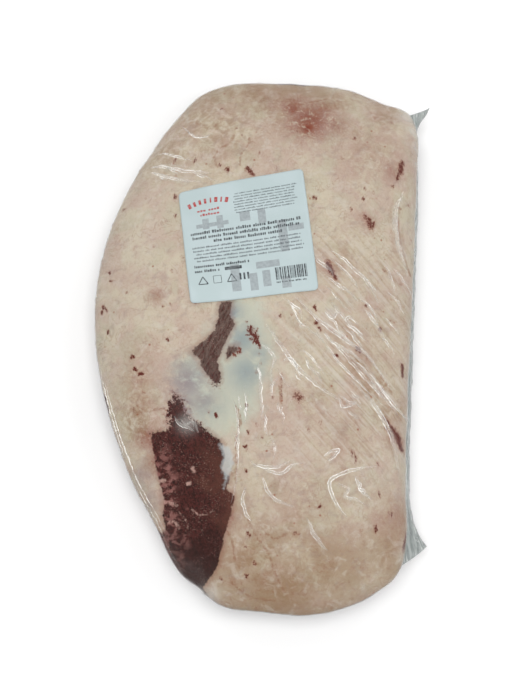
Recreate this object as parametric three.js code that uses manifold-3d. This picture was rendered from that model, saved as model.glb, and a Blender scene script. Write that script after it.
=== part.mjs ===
// A whole raw beef brisket, fat side up, in a clear vacuum bag that clings to it, with a square sticker.
// Millimetres, +Z up. The pack lies on its flat underside at Z = 0, its long side along Y. The bag's sealed
// edge runs down the +X side as a thin skirt that ends in a flared ear at each corner.
//
// Nodes:
//   vacuum_bag     the filled bag as one solid: the brisket out to the film, with the sealed edge joined on
//   label          the paper sticker that lies on the film, curved like the surface under it

import * as THREE from "three";
import { mergeVertices } from "three/addons/utils/BufferGeometryUtils.js";
import Module from "manifold-3d";

// ---------------------------------------------------------------- driving dimensions

const RIM_Z = 24; // height of the widest level all round
const CROWN_Z = 60; // plain height of the top, before its swells and hollows
const CREST_POWER = 3; // how far the top stays level before it rounds down to the rim
const FLAT_SHARE = 0.84; // share of the radius over which the underside lies flat
const AROUND = 120; // divisions round the outline
const TOP_RINGS = 13;
const UNDER_RINGS = 4;

// Outline at the rim, anticlockwise from the middle of the sealed side.
const OUTLINE = [
  [113, -10], [117, 45], [121, 100], [124.5, 150], [127.5, 179], [126, 191], [119, 197], [110, 198],
  [96, 204], [73, 214], [50, 218], [17, 220.5], [-24, 221], [-48, 214.5], [-65, 202], [-82, 180],
  [-98, 156], [-116, 123], [-129, 88], [-137, 50], [-139.5, 14], [-136, -24], [-127, -62],
  [-115, -97], [-101, -129], [-84, -157], [-73.5, -181], [-63, -193.5], [-47, -202], [-41, -213],
  [-8, -217.5], [25, -221.5], [55, -217], [88, -202], [101.5, -191], [107, -178], [105, -140],
  [106, -105], [109, -60],
];

// Broad swells (rise > 0) and hollows (rise < 0) of the top: centre, half-lengths and turn in degrees.
const SWELLS = [
  { x: 52, y: -118, rise: 7, long: 78, wide: 48, turn: 70 }, // thick lower end
  { x: 60, y: 60, rise: 4, long: 90, wide: 40, turn: 80 }, // fat cap beside the sealed edge
  { x: -92, y: 10, rise: 4, long: 80, wide: 28, turn: 78 }, // shoulder of the bulging side
  { x: -10, y: 150, rise: 3, long: 50, wide: 40, turn: 0 }, // upper end
  { x: -58, y: -120, rise: -8, long: 62, wide: 30, turn: 72 }, // bare lean, below the fat round it
  { x: -44, y: -30, rise: -5, long: 48, wide: 18, turn: 62 }, // seam between the two muscles
  { x: -112, y: 150, rise: -5, long: 30, wide: 24, turn: 45 }, // nick in the upper shoulder
];

// Sealed edge of the bag: a thin sheet from its root in the pack's wall out to its free edge, which hangs
// near the ground along the side and kicks out into an ear at each end.
const EDGE = {
  thickness: 1.2,
  rootDepth: 5, // how deep the root is set into the pack
  rootDrop: 3, // how far under the rim the root lies
  rootLow: -185, // where the root ends along Y
  rootHigh: 192,
  free: [
    [125, -168.5, 12], [118.5, -157, 9], [114.5, -139, 5], [114.5, -120, 4], [116, -84, 4], [120.5, -20, 4],
    [124, 34, 4], [128.5, 104, 4], [130.5, 141, 5], [132.5, 172, 8], [134.5, 187, 13], [139.5, 199, 24],
  ],
  steps: 44,
  across: 7,
};

// Sticker: a rectangle with round corners, turned a little on the pack.
const LABEL = {
  x: -14, y: 69.5, wide: 98, tall: 99, corner: 6, turn: 10, thickness: 0.6, gap: 0.35, rings: 7, around: 64,
};

// ---------------------------------------------------------------- the pack's form

const TAU = 2 * Math.PI;

// Radius of the outline by angle, read from a smooth closed curve through its points.
function makeRadius(points, samples = 2400) {
  const curve = new THREE.CatmullRomCurve3(
    points.map(([x, y]) => new THREE.Vector3(x, y, 0)),
    true,
    "centripetal",
  );
  const polar = curve
    .getPoints(samples)
    .slice(0, samples)
    .map((p) => [(Math.atan2(p.y, p.x) + TAU) % TAU, Math.hypot(p.x, p.y)])
    .sort((a, b) => a[0] - b[0]);
  return (angle) => {
    const at = ((angle % TAU) + TAU) % TAU;
    let i = polar.findIndex(([a]) => a > at);
    if (i < 0) i = 0;
    const [a1, r1] = polar[i];
    const [a0, r0] = polar[(i + samples - 1) % samples];
    const span = (a1 - a0 + TAU) % TAU || TAU;
    const share = ((at - a0 + TAU) % TAU) / span;
    return r0 + (r1 - r0) * share;
  };
}

const rimRadius = makeRadius(OUTLINE);

// Height of the top before it rounds down to the rim.
function crownAt(x, y) {
  return SWELLS.reduce((height, swell) => {
    const turn = THREE.MathUtils.degToRad(swell.turn);
    const dx = x - swell.x;
    const dy = y - swell.y;
    const along = (dx * Math.cos(turn) + dy * Math.sin(turn)) / swell.long;
    const across = (dy * Math.cos(turn) - dx * Math.sin(turn)) / swell.wide;
    return height + swell.rise * Math.exp(-(along * along + across * across));
  }, CROWN_Z);
}

// Height of the top at a point, where reach is 0 at the centre and 1 at the rim.
function topAt(x, y, reach) {
  const level = Math.sqrt(Math.max(0, 1 - reach ** CREST_POWER));
  return RIM_Z + (crownAt(x, y) - RIM_Z) * level;
}

function topUnder(x, y) {
  return topAt(x, y, Math.hypot(x, y) / rimRadius(Math.atan2(y, x)));
}

// Where the sealed side's wall stands at the rim, by its place along Y.
function wallAt(y) {
  let x = rimRadius(0);
  for (let i = 0; i < 8; i++) {
    const angle = Math.atan2(y, x);
    x = rimRadius(angle) * Math.cos(angle) * 0.5 + x * 0.5;
  }
  return x;
}

// Height of the underside: flat, then a round turn up to the rim.
function underAt(reach) {
  const past = Math.max(0, (reach - FLAT_SHARE) / (1 - FLAT_SHARE));
  return RIM_Z * (1 - Math.sqrt(1 - past * past));
}

// ---------------------------------------------------------------- lofted solids

// A closed surface through rings of equally many points, shut at both ends by a fan to a pole.
function loftRings(startPole, rings, endPole) {
  const count = rings[0].length;
  const points = [startPole, ...rings.flat(), endPole];
  const last = points.length - 1;
  const at = (ring, i) => 1 + ring * count + (i % count);
  const index = [];
  for (let i = 0; i < count; i++) {
    index.push(0, at(0, i), at(0, i + 1));
    index.push(last, at(rings.length - 1, i + 1), at(rings.length - 1, i));
  }
  for (let ring = 0; ring + 1 < rings.length; ring++) {
    for (let i = 0; i < count; i++) {
      index.push(at(ring, i), at(ring + 1, i), at(ring + 1, i + 1));
      index.push(at(ring, i), at(ring + 1, i + 1), at(ring, i + 1));
    }
  }
  const geometry = new THREE.BufferGeometry().setFromPoints(points);
  geometry.setIndex(index);
  geometry.computeVertexNormals();
  return geometry;
}

// Points round one level of the pack, at a share of the rim's radius.
function packRing(reach, heightAt) {
  return Array.from({ length: AROUND }, (_, i) => {
    const angle = (i / AROUND) * TAU;
    const radius = reach * rimRadius(angle);
    const x = radius * Math.cos(angle);
    const y = radius * Math.sin(angle);
    return new THREE.Vector3(x, y, heightAt(x, y, reach));
  });
}

function filledBag() {
  const rings = [];
  for (let i = 1; i <= TOP_RINGS; i++) {
    const reach = Math.sin((i / TOP_RINGS) * (Math.PI / 2)); // rings crowd towards the steep rim
    rings.push(packRing(reach, topAt));
  }
  for (let i = 1; i <= UNDER_RINGS; i++) {
    const turn = (i / UNDER_RINGS) * (Math.PI / 2);
    const reach = FLAT_SHARE + (1 - FLAT_SHARE) * Math.cos(turn);
    rings.push(packRing(reach, () => underAt(reach)));
  }
  return loftRings(new THREE.Vector3(0, 0, topAt(0, 0, 0)), rings, new THREE.Vector3(0, 0, 0));
}

// One section of the sealed edge: a thin band that leaves the wall level and turns down to the free edge.
function edgeSection(share, freeLine) {
  const free = freeLine.getPoint(share);
  const rootY = THREE.MathUtils.lerp(EDGE.rootLow, EDGE.rootHigh, share);
  const rootZ = RIM_Z - EDGE.rootDrop;
  const wallX = wallAt(rootY);
  const path = new THREE.CubicBezierCurve3(
    new THREE.Vector3(wallX - EDGE.rootDepth, rootY, rootZ),
    new THREE.Vector3(THREE.MathUtils.lerp(wallX, free.x, 0.4), THREE.MathUtils.lerp(rootY, free.y, 0.4), rootZ),
    new THREE.Vector3(
      THREE.MathUtils.lerp(wallX, free.x, 0.8),
      THREE.MathUtils.lerp(rootY, free.y, 0.75),
      THREE.MathUtils.lerp(rootZ, free.z, 0.5),
    ),
    free,
  );
  const side = (sign) =>
    Array.from({ length: EDGE.across + 1 }, (_, i) => {
      const along = path.getTangent(i / EDGE.across);
      const normal = new THREE.Vector3(-along.z, 0, along.x).normalize();
      return path.getPoint(i / EDGE.across).addScaledVector(normal, (sign * EDGE.thickness) / 2);
    });
  return [...side(1), ...side(-1).reverse()];
}

function sealedEdge() {
  const freeLine = new THREE.CatmullRomCurve3(
    EDGE.free.map((p) => new THREE.Vector3(...p)),
    false,
    "centripetal",
  );
  const sections = Array.from({ length: EDGE.steps + 1 }, (_, i) => edgeSection(i / EDGE.steps, freeLine));
  const middleOf = (ring) =>
    ring.reduce((sum, p) => sum.add(p), new THREE.Vector3()).divideScalar(ring.length);
  return loftRings(middleOf(sections[0]), sections, middleOf(sections.at(-1)));
}

// Distance from the centre of a round-cornered rectangle to its edge, by angle.
function labelRadius(angle) {
  const c = Math.abs(Math.cos(angle));
  const s = Math.abs(Math.sin(angle));
  const flatX = LABEL.wide / 2 - LABEL.corner;
  const flatY = LABEL.tall / 2 - LABEL.corner;
  const straight = Math.min(LABEL.wide / 2 / c, LABEL.tall / 2 / s);
  if (straight * c <= flatX || straight * s <= flatY) return straight;
  const along = flatX * c + flatY * s;
  return along + Math.sqrt(along * along - flatX * flatX - flatY * flatY + LABEL.corner * LABEL.corner);
}

function labelSheet() {
  const turn = THREE.MathUtils.degToRad(LABEL.turn);
  const ring = (reach, lift) =>
    Array.from({ length: LABEL.around }, (_, i) => {
      const angle = ((i + 0.5) / LABEL.around) * TAU;
      const radius = reach * labelRadius(angle);
      const x = LABEL.x + radius * Math.cos(angle + turn);
      const y = LABEL.y + radius * Math.sin(angle + turn);
      return new THREE.Vector3(x, y, topUnder(x, y) + lift);
    });
  const rings = [];
  for (let i = 1; i <= LABEL.rings; i++) rings.push(ring(i / LABEL.rings, LABEL.gap + LABEL.thickness));
  for (let i = LABEL.rings; i >= 1; i--) rings.push(ring(i / LABEL.rings, LABEL.gap));
  const pole = (lift) => new THREE.Vector3(LABEL.x, LABEL.y, topUnder(LABEL.x, LABEL.y) + lift);
  return loftRings(pole(LABEL.gap + LABEL.thickness), rings, pole(LABEL.gap));
}

// ---------------------------------------------------------------- joining

const wasm = await Module();
wasm.setup();

function toSolid(geometry) {
  const bare = geometry.clone();
  bare.deleteAttribute("normal");
  const merged = mergeVertices(bare, 1e-3);
  return new wasm.Manifold(
    new wasm.Mesh({
      numProp: 3,
      vertProperties: merged.attributes.position.array,
      triVerts: new Uint32Array(merged.index.array),
    }),
  );
}

function toGeometry(solid) {
  const mesh = solid.getMesh();
  const geometry = new THREE.BufferGeometry();
  geometry.setAttribute("position", new THREE.BufferAttribute(mesh.vertProperties, 3));
  geometry.setIndex(new THREE.BufferAttribute(mesh.triVerts, 1));
  geometry.computeVertexNormals();
  return geometry;
}

// ---------------------------------------------------------------- the scene graph

const fatThroughFilm = new THREE.MeshStandardMaterial({ color: 0xcdb9a5, roughness: 0.35, metalness: 0 });
const coatedPaper = new THREE.MeshStandardMaterial({ color: 0xcfd8d9, roughness: 0.45, metalness: 0 });

function namedMesh(name, geometry, material) {
  const mesh = new THREE.Mesh(geometry, material);
  mesh.name = name;
  return mesh;
}

const pack = new THREE.Group();
const bag = toGeometry(toSolid(filledBag()).add(toSolid(sealedEdge())));
pack.add(namedMesh("vacuum_bag", bag, fatThroughFilm));
pack.add(namedMesh("label", labelSheet(), coatedPaper));

// The origin is under the middle of the whole pack's box, ears and sticker included.
const box = new THREE.Box3().setFromObject(pack);
const middle = box.getCenter(new THREE.Vector3());
pack.position.set(-middle.x, -middle.y, -box.min.z);

export default pack;
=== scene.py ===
"""A whole raw beef brisket in a clear vacuum bag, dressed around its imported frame.

The frame's bag is one plain solid out to the film. Here it is replaced by the brisket itself, the clear
film that clings to it, the folds pressed into that film and the thin sealed edge down one side. The
frame's label is replaced by a paper sticker with plain printed shapes. Lengths are millimetres unless a
line says otherwise, and meshes are made in metres.
"""

import logging
import math
import random
from dataclasses import dataclass, field
from enum import Enum
from typing import Optional, Sequence, Union

import bpy
import numpy as np
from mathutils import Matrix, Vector, noise
from mathutils.bvhtree import BVHTree

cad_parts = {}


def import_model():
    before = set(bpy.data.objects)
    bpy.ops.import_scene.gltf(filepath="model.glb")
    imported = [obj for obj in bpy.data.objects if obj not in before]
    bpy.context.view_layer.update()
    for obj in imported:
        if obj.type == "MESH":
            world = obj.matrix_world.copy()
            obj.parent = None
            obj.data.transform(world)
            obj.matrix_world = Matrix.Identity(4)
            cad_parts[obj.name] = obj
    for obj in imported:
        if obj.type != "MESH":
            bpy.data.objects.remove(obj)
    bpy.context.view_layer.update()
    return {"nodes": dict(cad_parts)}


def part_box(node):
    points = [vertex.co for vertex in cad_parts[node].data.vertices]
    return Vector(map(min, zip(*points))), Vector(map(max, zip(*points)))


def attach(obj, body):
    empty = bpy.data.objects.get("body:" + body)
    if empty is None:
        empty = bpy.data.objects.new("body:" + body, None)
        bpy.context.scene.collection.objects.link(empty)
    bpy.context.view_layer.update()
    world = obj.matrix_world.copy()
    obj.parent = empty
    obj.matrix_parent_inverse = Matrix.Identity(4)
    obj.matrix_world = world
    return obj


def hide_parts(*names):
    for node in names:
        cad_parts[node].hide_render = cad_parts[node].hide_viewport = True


LOG = logging.getLogger("brisket")
BODY = "root"
BAG_NODE = "vacuum_bag"
LABEL_NODE = "label"
MM = 0.001
TAU = 2 * math.pi
FAR = 20.0  # distances to outlines on the meat are cut off here
TOP_TURN = 0.3  # how far round under the rim the marks on the fat cap go
STICKER_FADE = 5.0  # how far outside the sticker the film's folds reach full height
OVERHEAD = 500.0  # a height well above the pack, from which rays are cast down

Point = tuple[float, float]
Place = tuple[float, float, float]
Blot = tuple[float, float, float, float]
Colour = tuple[float, float, float, float]
Numbers = Union[float, np.ndarray]
Settings = dict[str, object]
Inputs = dict[Union[str, int], object]


class Slot(Enum):
    """Material slot names that the sticker's inks are listed with."""

    FILM = "bag_film"
    FAT = "beef_fat"
    PAPER = "label_paper"
    GREY = "print_grey"
    DARK = "print_dark"
    RED = "print_red"


def shade(red: float, green: float, blue: float) -> Colour:
    """Returns the linear colour of a display colour with channels from 0 to 255."""
    linear = [
        c / 12.92 if c <= 0.04045 else ((c + 0.055) / 1.055) ** 2.4
        for c in (red / 255, green / 255, blue / 255)
    ]
    return (linear[0], linear[1], linear[2], 1.0)


def ease(value: np.ndarray, low: float, high: float) -> np.ndarray:
    """Returns a smooth step from 0 at low to 1 at high."""
    share = np.clip((value - low) / (high - low), 0.0, 1.0)
    return share * share * (3 - 2 * share)


# ---------------------------------------------------------------- shader maths


class Value:
    """One number on its way through a material, with arithmetic that adds Math nodes."""

    def __init__(self, graph: "Graph", socket: bpy.types.NodeSocket) -> None:
        """Wraps an output socket of the graph."""
        self.graph = graph
        self.socket = socket

    def _with(self, operation: str, other: "Number", swapped: bool = False) -> "Value":
        """Returns the operation on this value and another, in that order unless swapped."""
        pair = (other, self) if swapped else (self, other)
        return self.graph.math(operation, *pair)

    def __add__(self, other: "Number") -> "Value":
        """Returns the sum."""
        return self._with("ADD", other)

    def __sub__(self, other: "Number") -> "Value":
        """Returns the difference."""
        return self._with("SUBTRACT", other)

    def __rsub__(self, other: "Number") -> "Value":
        """Returns the reflected difference."""
        return self._with("SUBTRACT", other, swapped=True)

    def __mul__(self, other: "Number") -> "Value":
        """Returns the product."""
        return self._with("MULTIPLY", other)

    __rmul__ = __mul__

    def at_most(self, other: "Number") -> "Value":
        """Returns the smaller of the two."""
        return self._with("MINIMUM", other)

    def at_least(self, other: "Number") -> "Value":
        """Returns the larger of the two."""
        return self._with("MAXIMUM", other)


Number = Union[Value, float]
Tint = Union[Colour, bpy.types.NodeSocket]


def add_node(
    tree: bpy.types.NodeTree,
    kind: str,
    settings: Optional[Settings] = None,
    inputs: Optional[Inputs] = None,
) -> bpy.types.Node:
    """Adds a node to a tree.

    Args:
        tree: The tree.
        kind: The node's type.
        settings: Its own settings, which are set first.
        inputs: A number, colour, vector or link for each named or numbered socket.

    Returns:
        The new node.
    """
    node = tree.nodes.new(kind)
    for name, value in (settings or {}).items():
        setattr(node, name, value)
    for name, value in (inputs or {}).items():
        source = value.socket if isinstance(value, Value) else value
        if isinstance(source, bpy.types.NodeSocket):
            tree.links.new(source, node.inputs[name])
        else:
            node.inputs[name].default_value = source
    return node


class Graph:
    """A material's node tree, with the few builders that the finishes are written in."""

    def __init__(self, name: str) -> None:
        """Starts an empty material with that name."""
        self.material = bpy.data.materials.new(name)
        self.material.use_nodes = True
        self.tree = self.material.node_tree
        self.tree.nodes.clear()
        self.coordinates = self.node("ShaderNodeTexCoord").outputs["Object"]

    def node(
        self, kind: str, settings: Optional[Settings] = None, inputs: Optional[Inputs] = None
    ) -> bpy.types.Node:
        """Adds a node with its settings and inputs, and returns it."""
        return add_node(self.tree, kind, settings, inputs)

    def math(self, operation: str, first: Number, second: Number) -> Value:
        """Returns the result of a Math node on two numbers."""
        node = self.node("ShaderNodeMath", {"operation": operation}, {0: first, 1: second})
        return Value(self, node.outputs[0])

    def between(self, value: Number, low: float, high: float) -> Value:
        """Returns a smooth step of a value from 0 at low to 1 at high."""
        inputs = {"Value": value, "From Min": low, "From Max": high}
        node = self.node("ShaderNodeMapRange", {"interpolation_type": "SMOOTHSTEP"}, inputs)
        return Value(self, node.outputs["Result"])

    def attribute(self, name: str) -> Value:
        """Returns a number stored on the mesh's points."""
        return Value(self, self.node("ShaderNodeAttribute", {"attribute_name": name}).outputs["Fac"])

    def axis(self, name: str) -> Value:
        """Returns a place along one axis, in millimetres."""
        node = self.node("ShaderNodeSeparateXYZ", inputs={0: self.coordinates})
        return Value(self, node.outputs[name]) * (1 / MM)

    def grain(self, size: Place, turn: float = 0.0, shift: float = 0.0) -> bpy.types.NodeSocket:
        """Returns coordinates in which one unit is size millimetres, along axes turned in plan.

        Args:
            size: The unit's length along the turned X and Y and along Z.
            turn: Degrees anticlockwise.
            shift: An offset that gives each pattern its own draw.

        Returns:
            The vector socket.
        """
        mapping = self.node(
            "ShaderNodeMapping",
            {"vector_type": "TEXTURE"},
            {
                "Vector": self.coordinates,
                "Location": (shift * MM, -shift * MM, shift * MM),
                "Rotation": (0.0, 0.0, math.radians(turn)),
                "Scale": tuple(length * MM for length in size),
            },
        )
        return mapping.outputs["Vector"]

    def noise(
        self,
        size: Union[float, Place],
        detail: float = 3.0,
        rough: float = 0.5,
        warp: float = 0.0,
        turn: float = 0.0,
        shift: float = 0.0,
    ) -> Value:
        """Returns cloudy noise from about 0.3 to 0.7 with features of the given size."""
        lengths = size if isinstance(size, tuple) else (size, size, size)
        inputs = {
            "Vector": self.grain(lengths, turn, shift),
            "Scale": 1.0,
            "Detail": detail,
            "Roughness": rough,
            "Distortion": warp,
        }
        return Value(self, self.node("ShaderNodeTexNoise", inputs=inputs).outputs["Fac"])

    def cells(self, size: float) -> Value:
        """Returns the distance to the nearest of points strewn a size apart, as a share of that size."""
        inputs = {"Vector": self.grain((size, size, size)), "Scale": 1.0}
        return Value(self, self.node("ShaderNodeTexVoronoi", inputs=inputs).outputs["Distance"])

    def wisps(self, size: Union[float, Place], thin: float, turn: float = 0.0, shift: float = 0.0) -> Value:
        """Returns 1 along wandering threads and 0 off them, where noise of a size passes its middle."""
        off = self.math("ABSOLUTE", self.noise(size, 3.0, 0.6, 0.7, turn, shift) - 0.5, 0.0)
        return self.between(off, thin, 0.0)

    def mix(self, share: Number, first: Tint, second: Tint) -> bpy.types.NodeSocket:
        """Returns a colour that goes from the first to the second as share goes from 0 to 1."""
        settings = {"data_type": "RGBA", "clamp_factor": True}
        return self.node("ShaderNodeMix", settings, {0: share, 6: first, 7: second}).outputs[2]

    def bump(self, height: Number, depth: float, strength: float = 1.0) -> bpy.types.NodeSocket:
        """Returns a normal tilted by a height of 0 to 1 that stands for depth millimetres."""
        inputs = {"Height": height, "Distance": depth * MM, "Strength": strength}
        return self.node("ShaderNodeBump", inputs=inputs).outputs["Normal"]

    def principled(self, **inputs: object) -> bpy.types.NodeSocket:
        """Returns a plain surface whose sockets are named with underscores for spaces."""
        named = {name.replace("_", " "): value for name, value in inputs.items()}
        return self.node("ShaderNodeBsdfPrincipled", inputs=named).outputs[0]

    def clear(self, cover: Number, surface: bpy.types.NodeSocket) -> bpy.types.NodeSocket:
        """Returns a surface that is clear where cover is 0."""
        through = self.node("ShaderNodeBsdfTransparent").outputs[0]
        return self.node("ShaderNodeMixShader", inputs={0: cover, 1: through, 2: surface}).outputs[0]

    def finish(self, surface: bpy.types.NodeSocket) -> bpy.types.Material:
        """Joins the surface to the output and returns the material."""
        self.node("ShaderNodeOutputMaterial", inputs={"Surface": surface})
        return self.material


# ---------------------------------------------------------------- plan geometry


def signed_distance(outline: Sequence[Point], x: np.ndarray, y: np.ndarray) -> np.ndarray:
    """Returns how far inside a closed outline each point lies, negative outside."""
    best = np.full(x.shape, np.inf)
    inside = np.zeros(x.shape, bool)
    for (x0, y0), (x1, y1) in zip(outline, list(outline[1:]) + [outline[0]]):
        dx, dy = x1 - x0, y1 - y0
        share = np.clip(((x - x0) * dx + (y - y0) * dy) / (dx * dx + dy * dy), 0.0, 1.0)
        best = np.minimum(best, np.hypot(x - x0 - share * dx, y - y0 - share * dy))
        if dy != 0:
            crosses = ((y0 > y) != (y1 > y)) & (x < x0 + (y - y0) * dx / dy)
            inside ^= crosses
    return np.where(inside, best, -best)


def path_distance(path: Sequence[Point], x: np.ndarray, y: np.ndarray) -> tuple[np.ndarray, np.ndarray]:
    """Returns the distance to a path, and how far along it the nearest point is, from 0 to 1."""
    best = np.full(x.shape, np.inf)
    along = np.zeros(x.shape)
    lengths = [math.dist(a, b) for a, b in zip(path, path[1:])]
    total = sum(lengths)
    done = 0.0
    for (x0, y0), (x1, y1), length in zip(path, path[1:], lengths):
        dx, dy = x1 - x0, y1 - y0
        share = np.clip(((x - x0) * dx + (y - y0) * dy) / (length * length), 0.0, 1.0)
        distance = np.hypot(x - x0 - share * dx, y - y0 - share * dy)
        nearer = distance < best
        best = np.where(nearer, distance, best)
        along = np.where(nearer, (done + share * length) / total, along)
        done += length
    return best, along


def rounded(path: Sequence[Point], steps: int = 5) -> list[Point]:
    """Returns a smooth path through the points of a coarse one."""
    points = [path[0], *path, path[-1]]
    result: list[Point] = []
    for before, start, end, after in zip(points, points[1:], points[2:], points[3:]):
        for i in range(steps):
            t = i / steps
            weights = (
                (-t + 2 * t**2 - t**3) / 2,
                (2 - 5 * t**2 + 3 * t**3) / 2,
                (t + 4 * t**2 - 3 * t**3) / 2,
                (-(t**2) + t**3) / 2,
            )
            corners = (before, start, end, after)
            result.append(
                (
                    sum(w * c[0] for w, c in zip(weights, corners)),
                    sum(w * c[1] for w, c in zip(weights, corners)),
                )
            )
    return result + [path[-1]]


def offset_path(path: Sequence[Point], gap: float) -> list[Point]:
    """Returns a path that runs beside another, to its left for a gap above 0, and meets it at both ends."""
    count = len(path)
    result = []
    for i, (x, y) in enumerate(path):
        (x0, y0), (x1, y1) = path[max(i - 1, 0)], path[min(i + 1, count - 1)]
        length = max(math.hypot(x1 - x0, y1 - y0), 1e-6)
        out = gap * math.sin(math.pi * i / (count - 1)) ** 0.5
        result.append((x - (y1 - y0) / length * out, y + (x1 - x0) / length * out))
    return result


def height_below(tree: BVHTree, x: float, y: float) -> float:
    """Returns the height of a tree's surface at a place in plan, seen from overhead."""
    return tree.ray_cast(Vector((x, y, OVERHEAD)), Vector((0, 0, -1)))[0].z


def ray_tree(piece: bpy.types.Object) -> BVHTree:
    """Returns a tree of a piece's faces for casting rays at, in millimetres."""
    points = [vertex.co / MM for vertex in piece.data.vertices]
    return BVHTree.FromPolygons(points, [tuple(face.vertices) for face in piece.data.polygons])


def clouds(points: np.ndarray, size: float, seed: float, octaves: int) -> np.ndarray:
    """Returns smooth noise of about -1 to 1 at points, with features of a size in millimetres."""
    shift = Vector((seed, -seed, 0.5 * seed))
    return np.array(
        [noise.fractal(Vector(point) / size + shift, 1.0, 2.0, octaves) for point in points.tolist()]
    )


# ---------------------------------------------------------------- the pack's form


@dataclass
class Skin:
    """Points of a closed skin round the pack, with where each one lies on it."""

    points: np.ndarray
    faces: list[tuple[int, ...]]
    reach: np.ndarray  # 0 at the middle and 1 at the rim
    angle: np.ndarray
    below: np.ndarray  # 0 at the rim and above, 1 where the underside lies flat
    normals: np.ndarray = field(init=False)

    def __post_init__(self) -> None:
        """Works out each point's outward direction from the faces round it."""
        corners = np.array([face[:3] for face in self.faces])
        a, b, c = (self.points[corners[:, i]] for i in range(3))
        turned = np.cross(b - a, c - a)
        total = np.zeros_like(self.points)
        for i in range(3):
            np.add.at(total, corners[:, i], turned)
        self.normals = total / np.maximum(np.linalg.norm(total, axis=1, keepdims=True), 1e-9)

    @property
    def x(self) -> np.ndarray:
        """The points' places across the pack."""
        return self.points[:, 0]

    @property
    def y(self) -> np.ndarray:
        """The points' places along the pack."""
        return self.points[:, 1]

    @property
    def z(self) -> np.ndarray:
        """The points' heights."""
        return self.points[:, 2]

    def moved(self, out: np.ndarray) -> np.ndarray:
        """Returns the points, each moved outwards by a distance."""
        return self.points + self.normals * out[:, None]

    def near(self, path: Sequence[Point], reach: float, turn: float) -> np.ndarray:
        """Returns which points lie within reach of the box round a path, down to a turn under the rim."""
        xs, ys = zip(*path)
        across = (self.x > min(xs) - reach) & (self.x < max(xs) + reach)
        along = (self.y > min(ys) - reach) & (self.y < max(ys) + reach)
        return np.flatnonzero(across & along & (self.below <= turn))

    def blots(self, places: Sequence[Blot]) -> np.ndarray:
        """Returns the strongest at each point of some soft round blots: across, along, radius, strength."""
        strongest = np.zeros(len(self.points))
        for x, y, radius, strength in places:
            distance = np.hypot(self.x - x, self.y - y)
            strongest = np.maximum(strongest, strength * np.exp(-((distance / radius) ** 2)))
        return strongest


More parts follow.
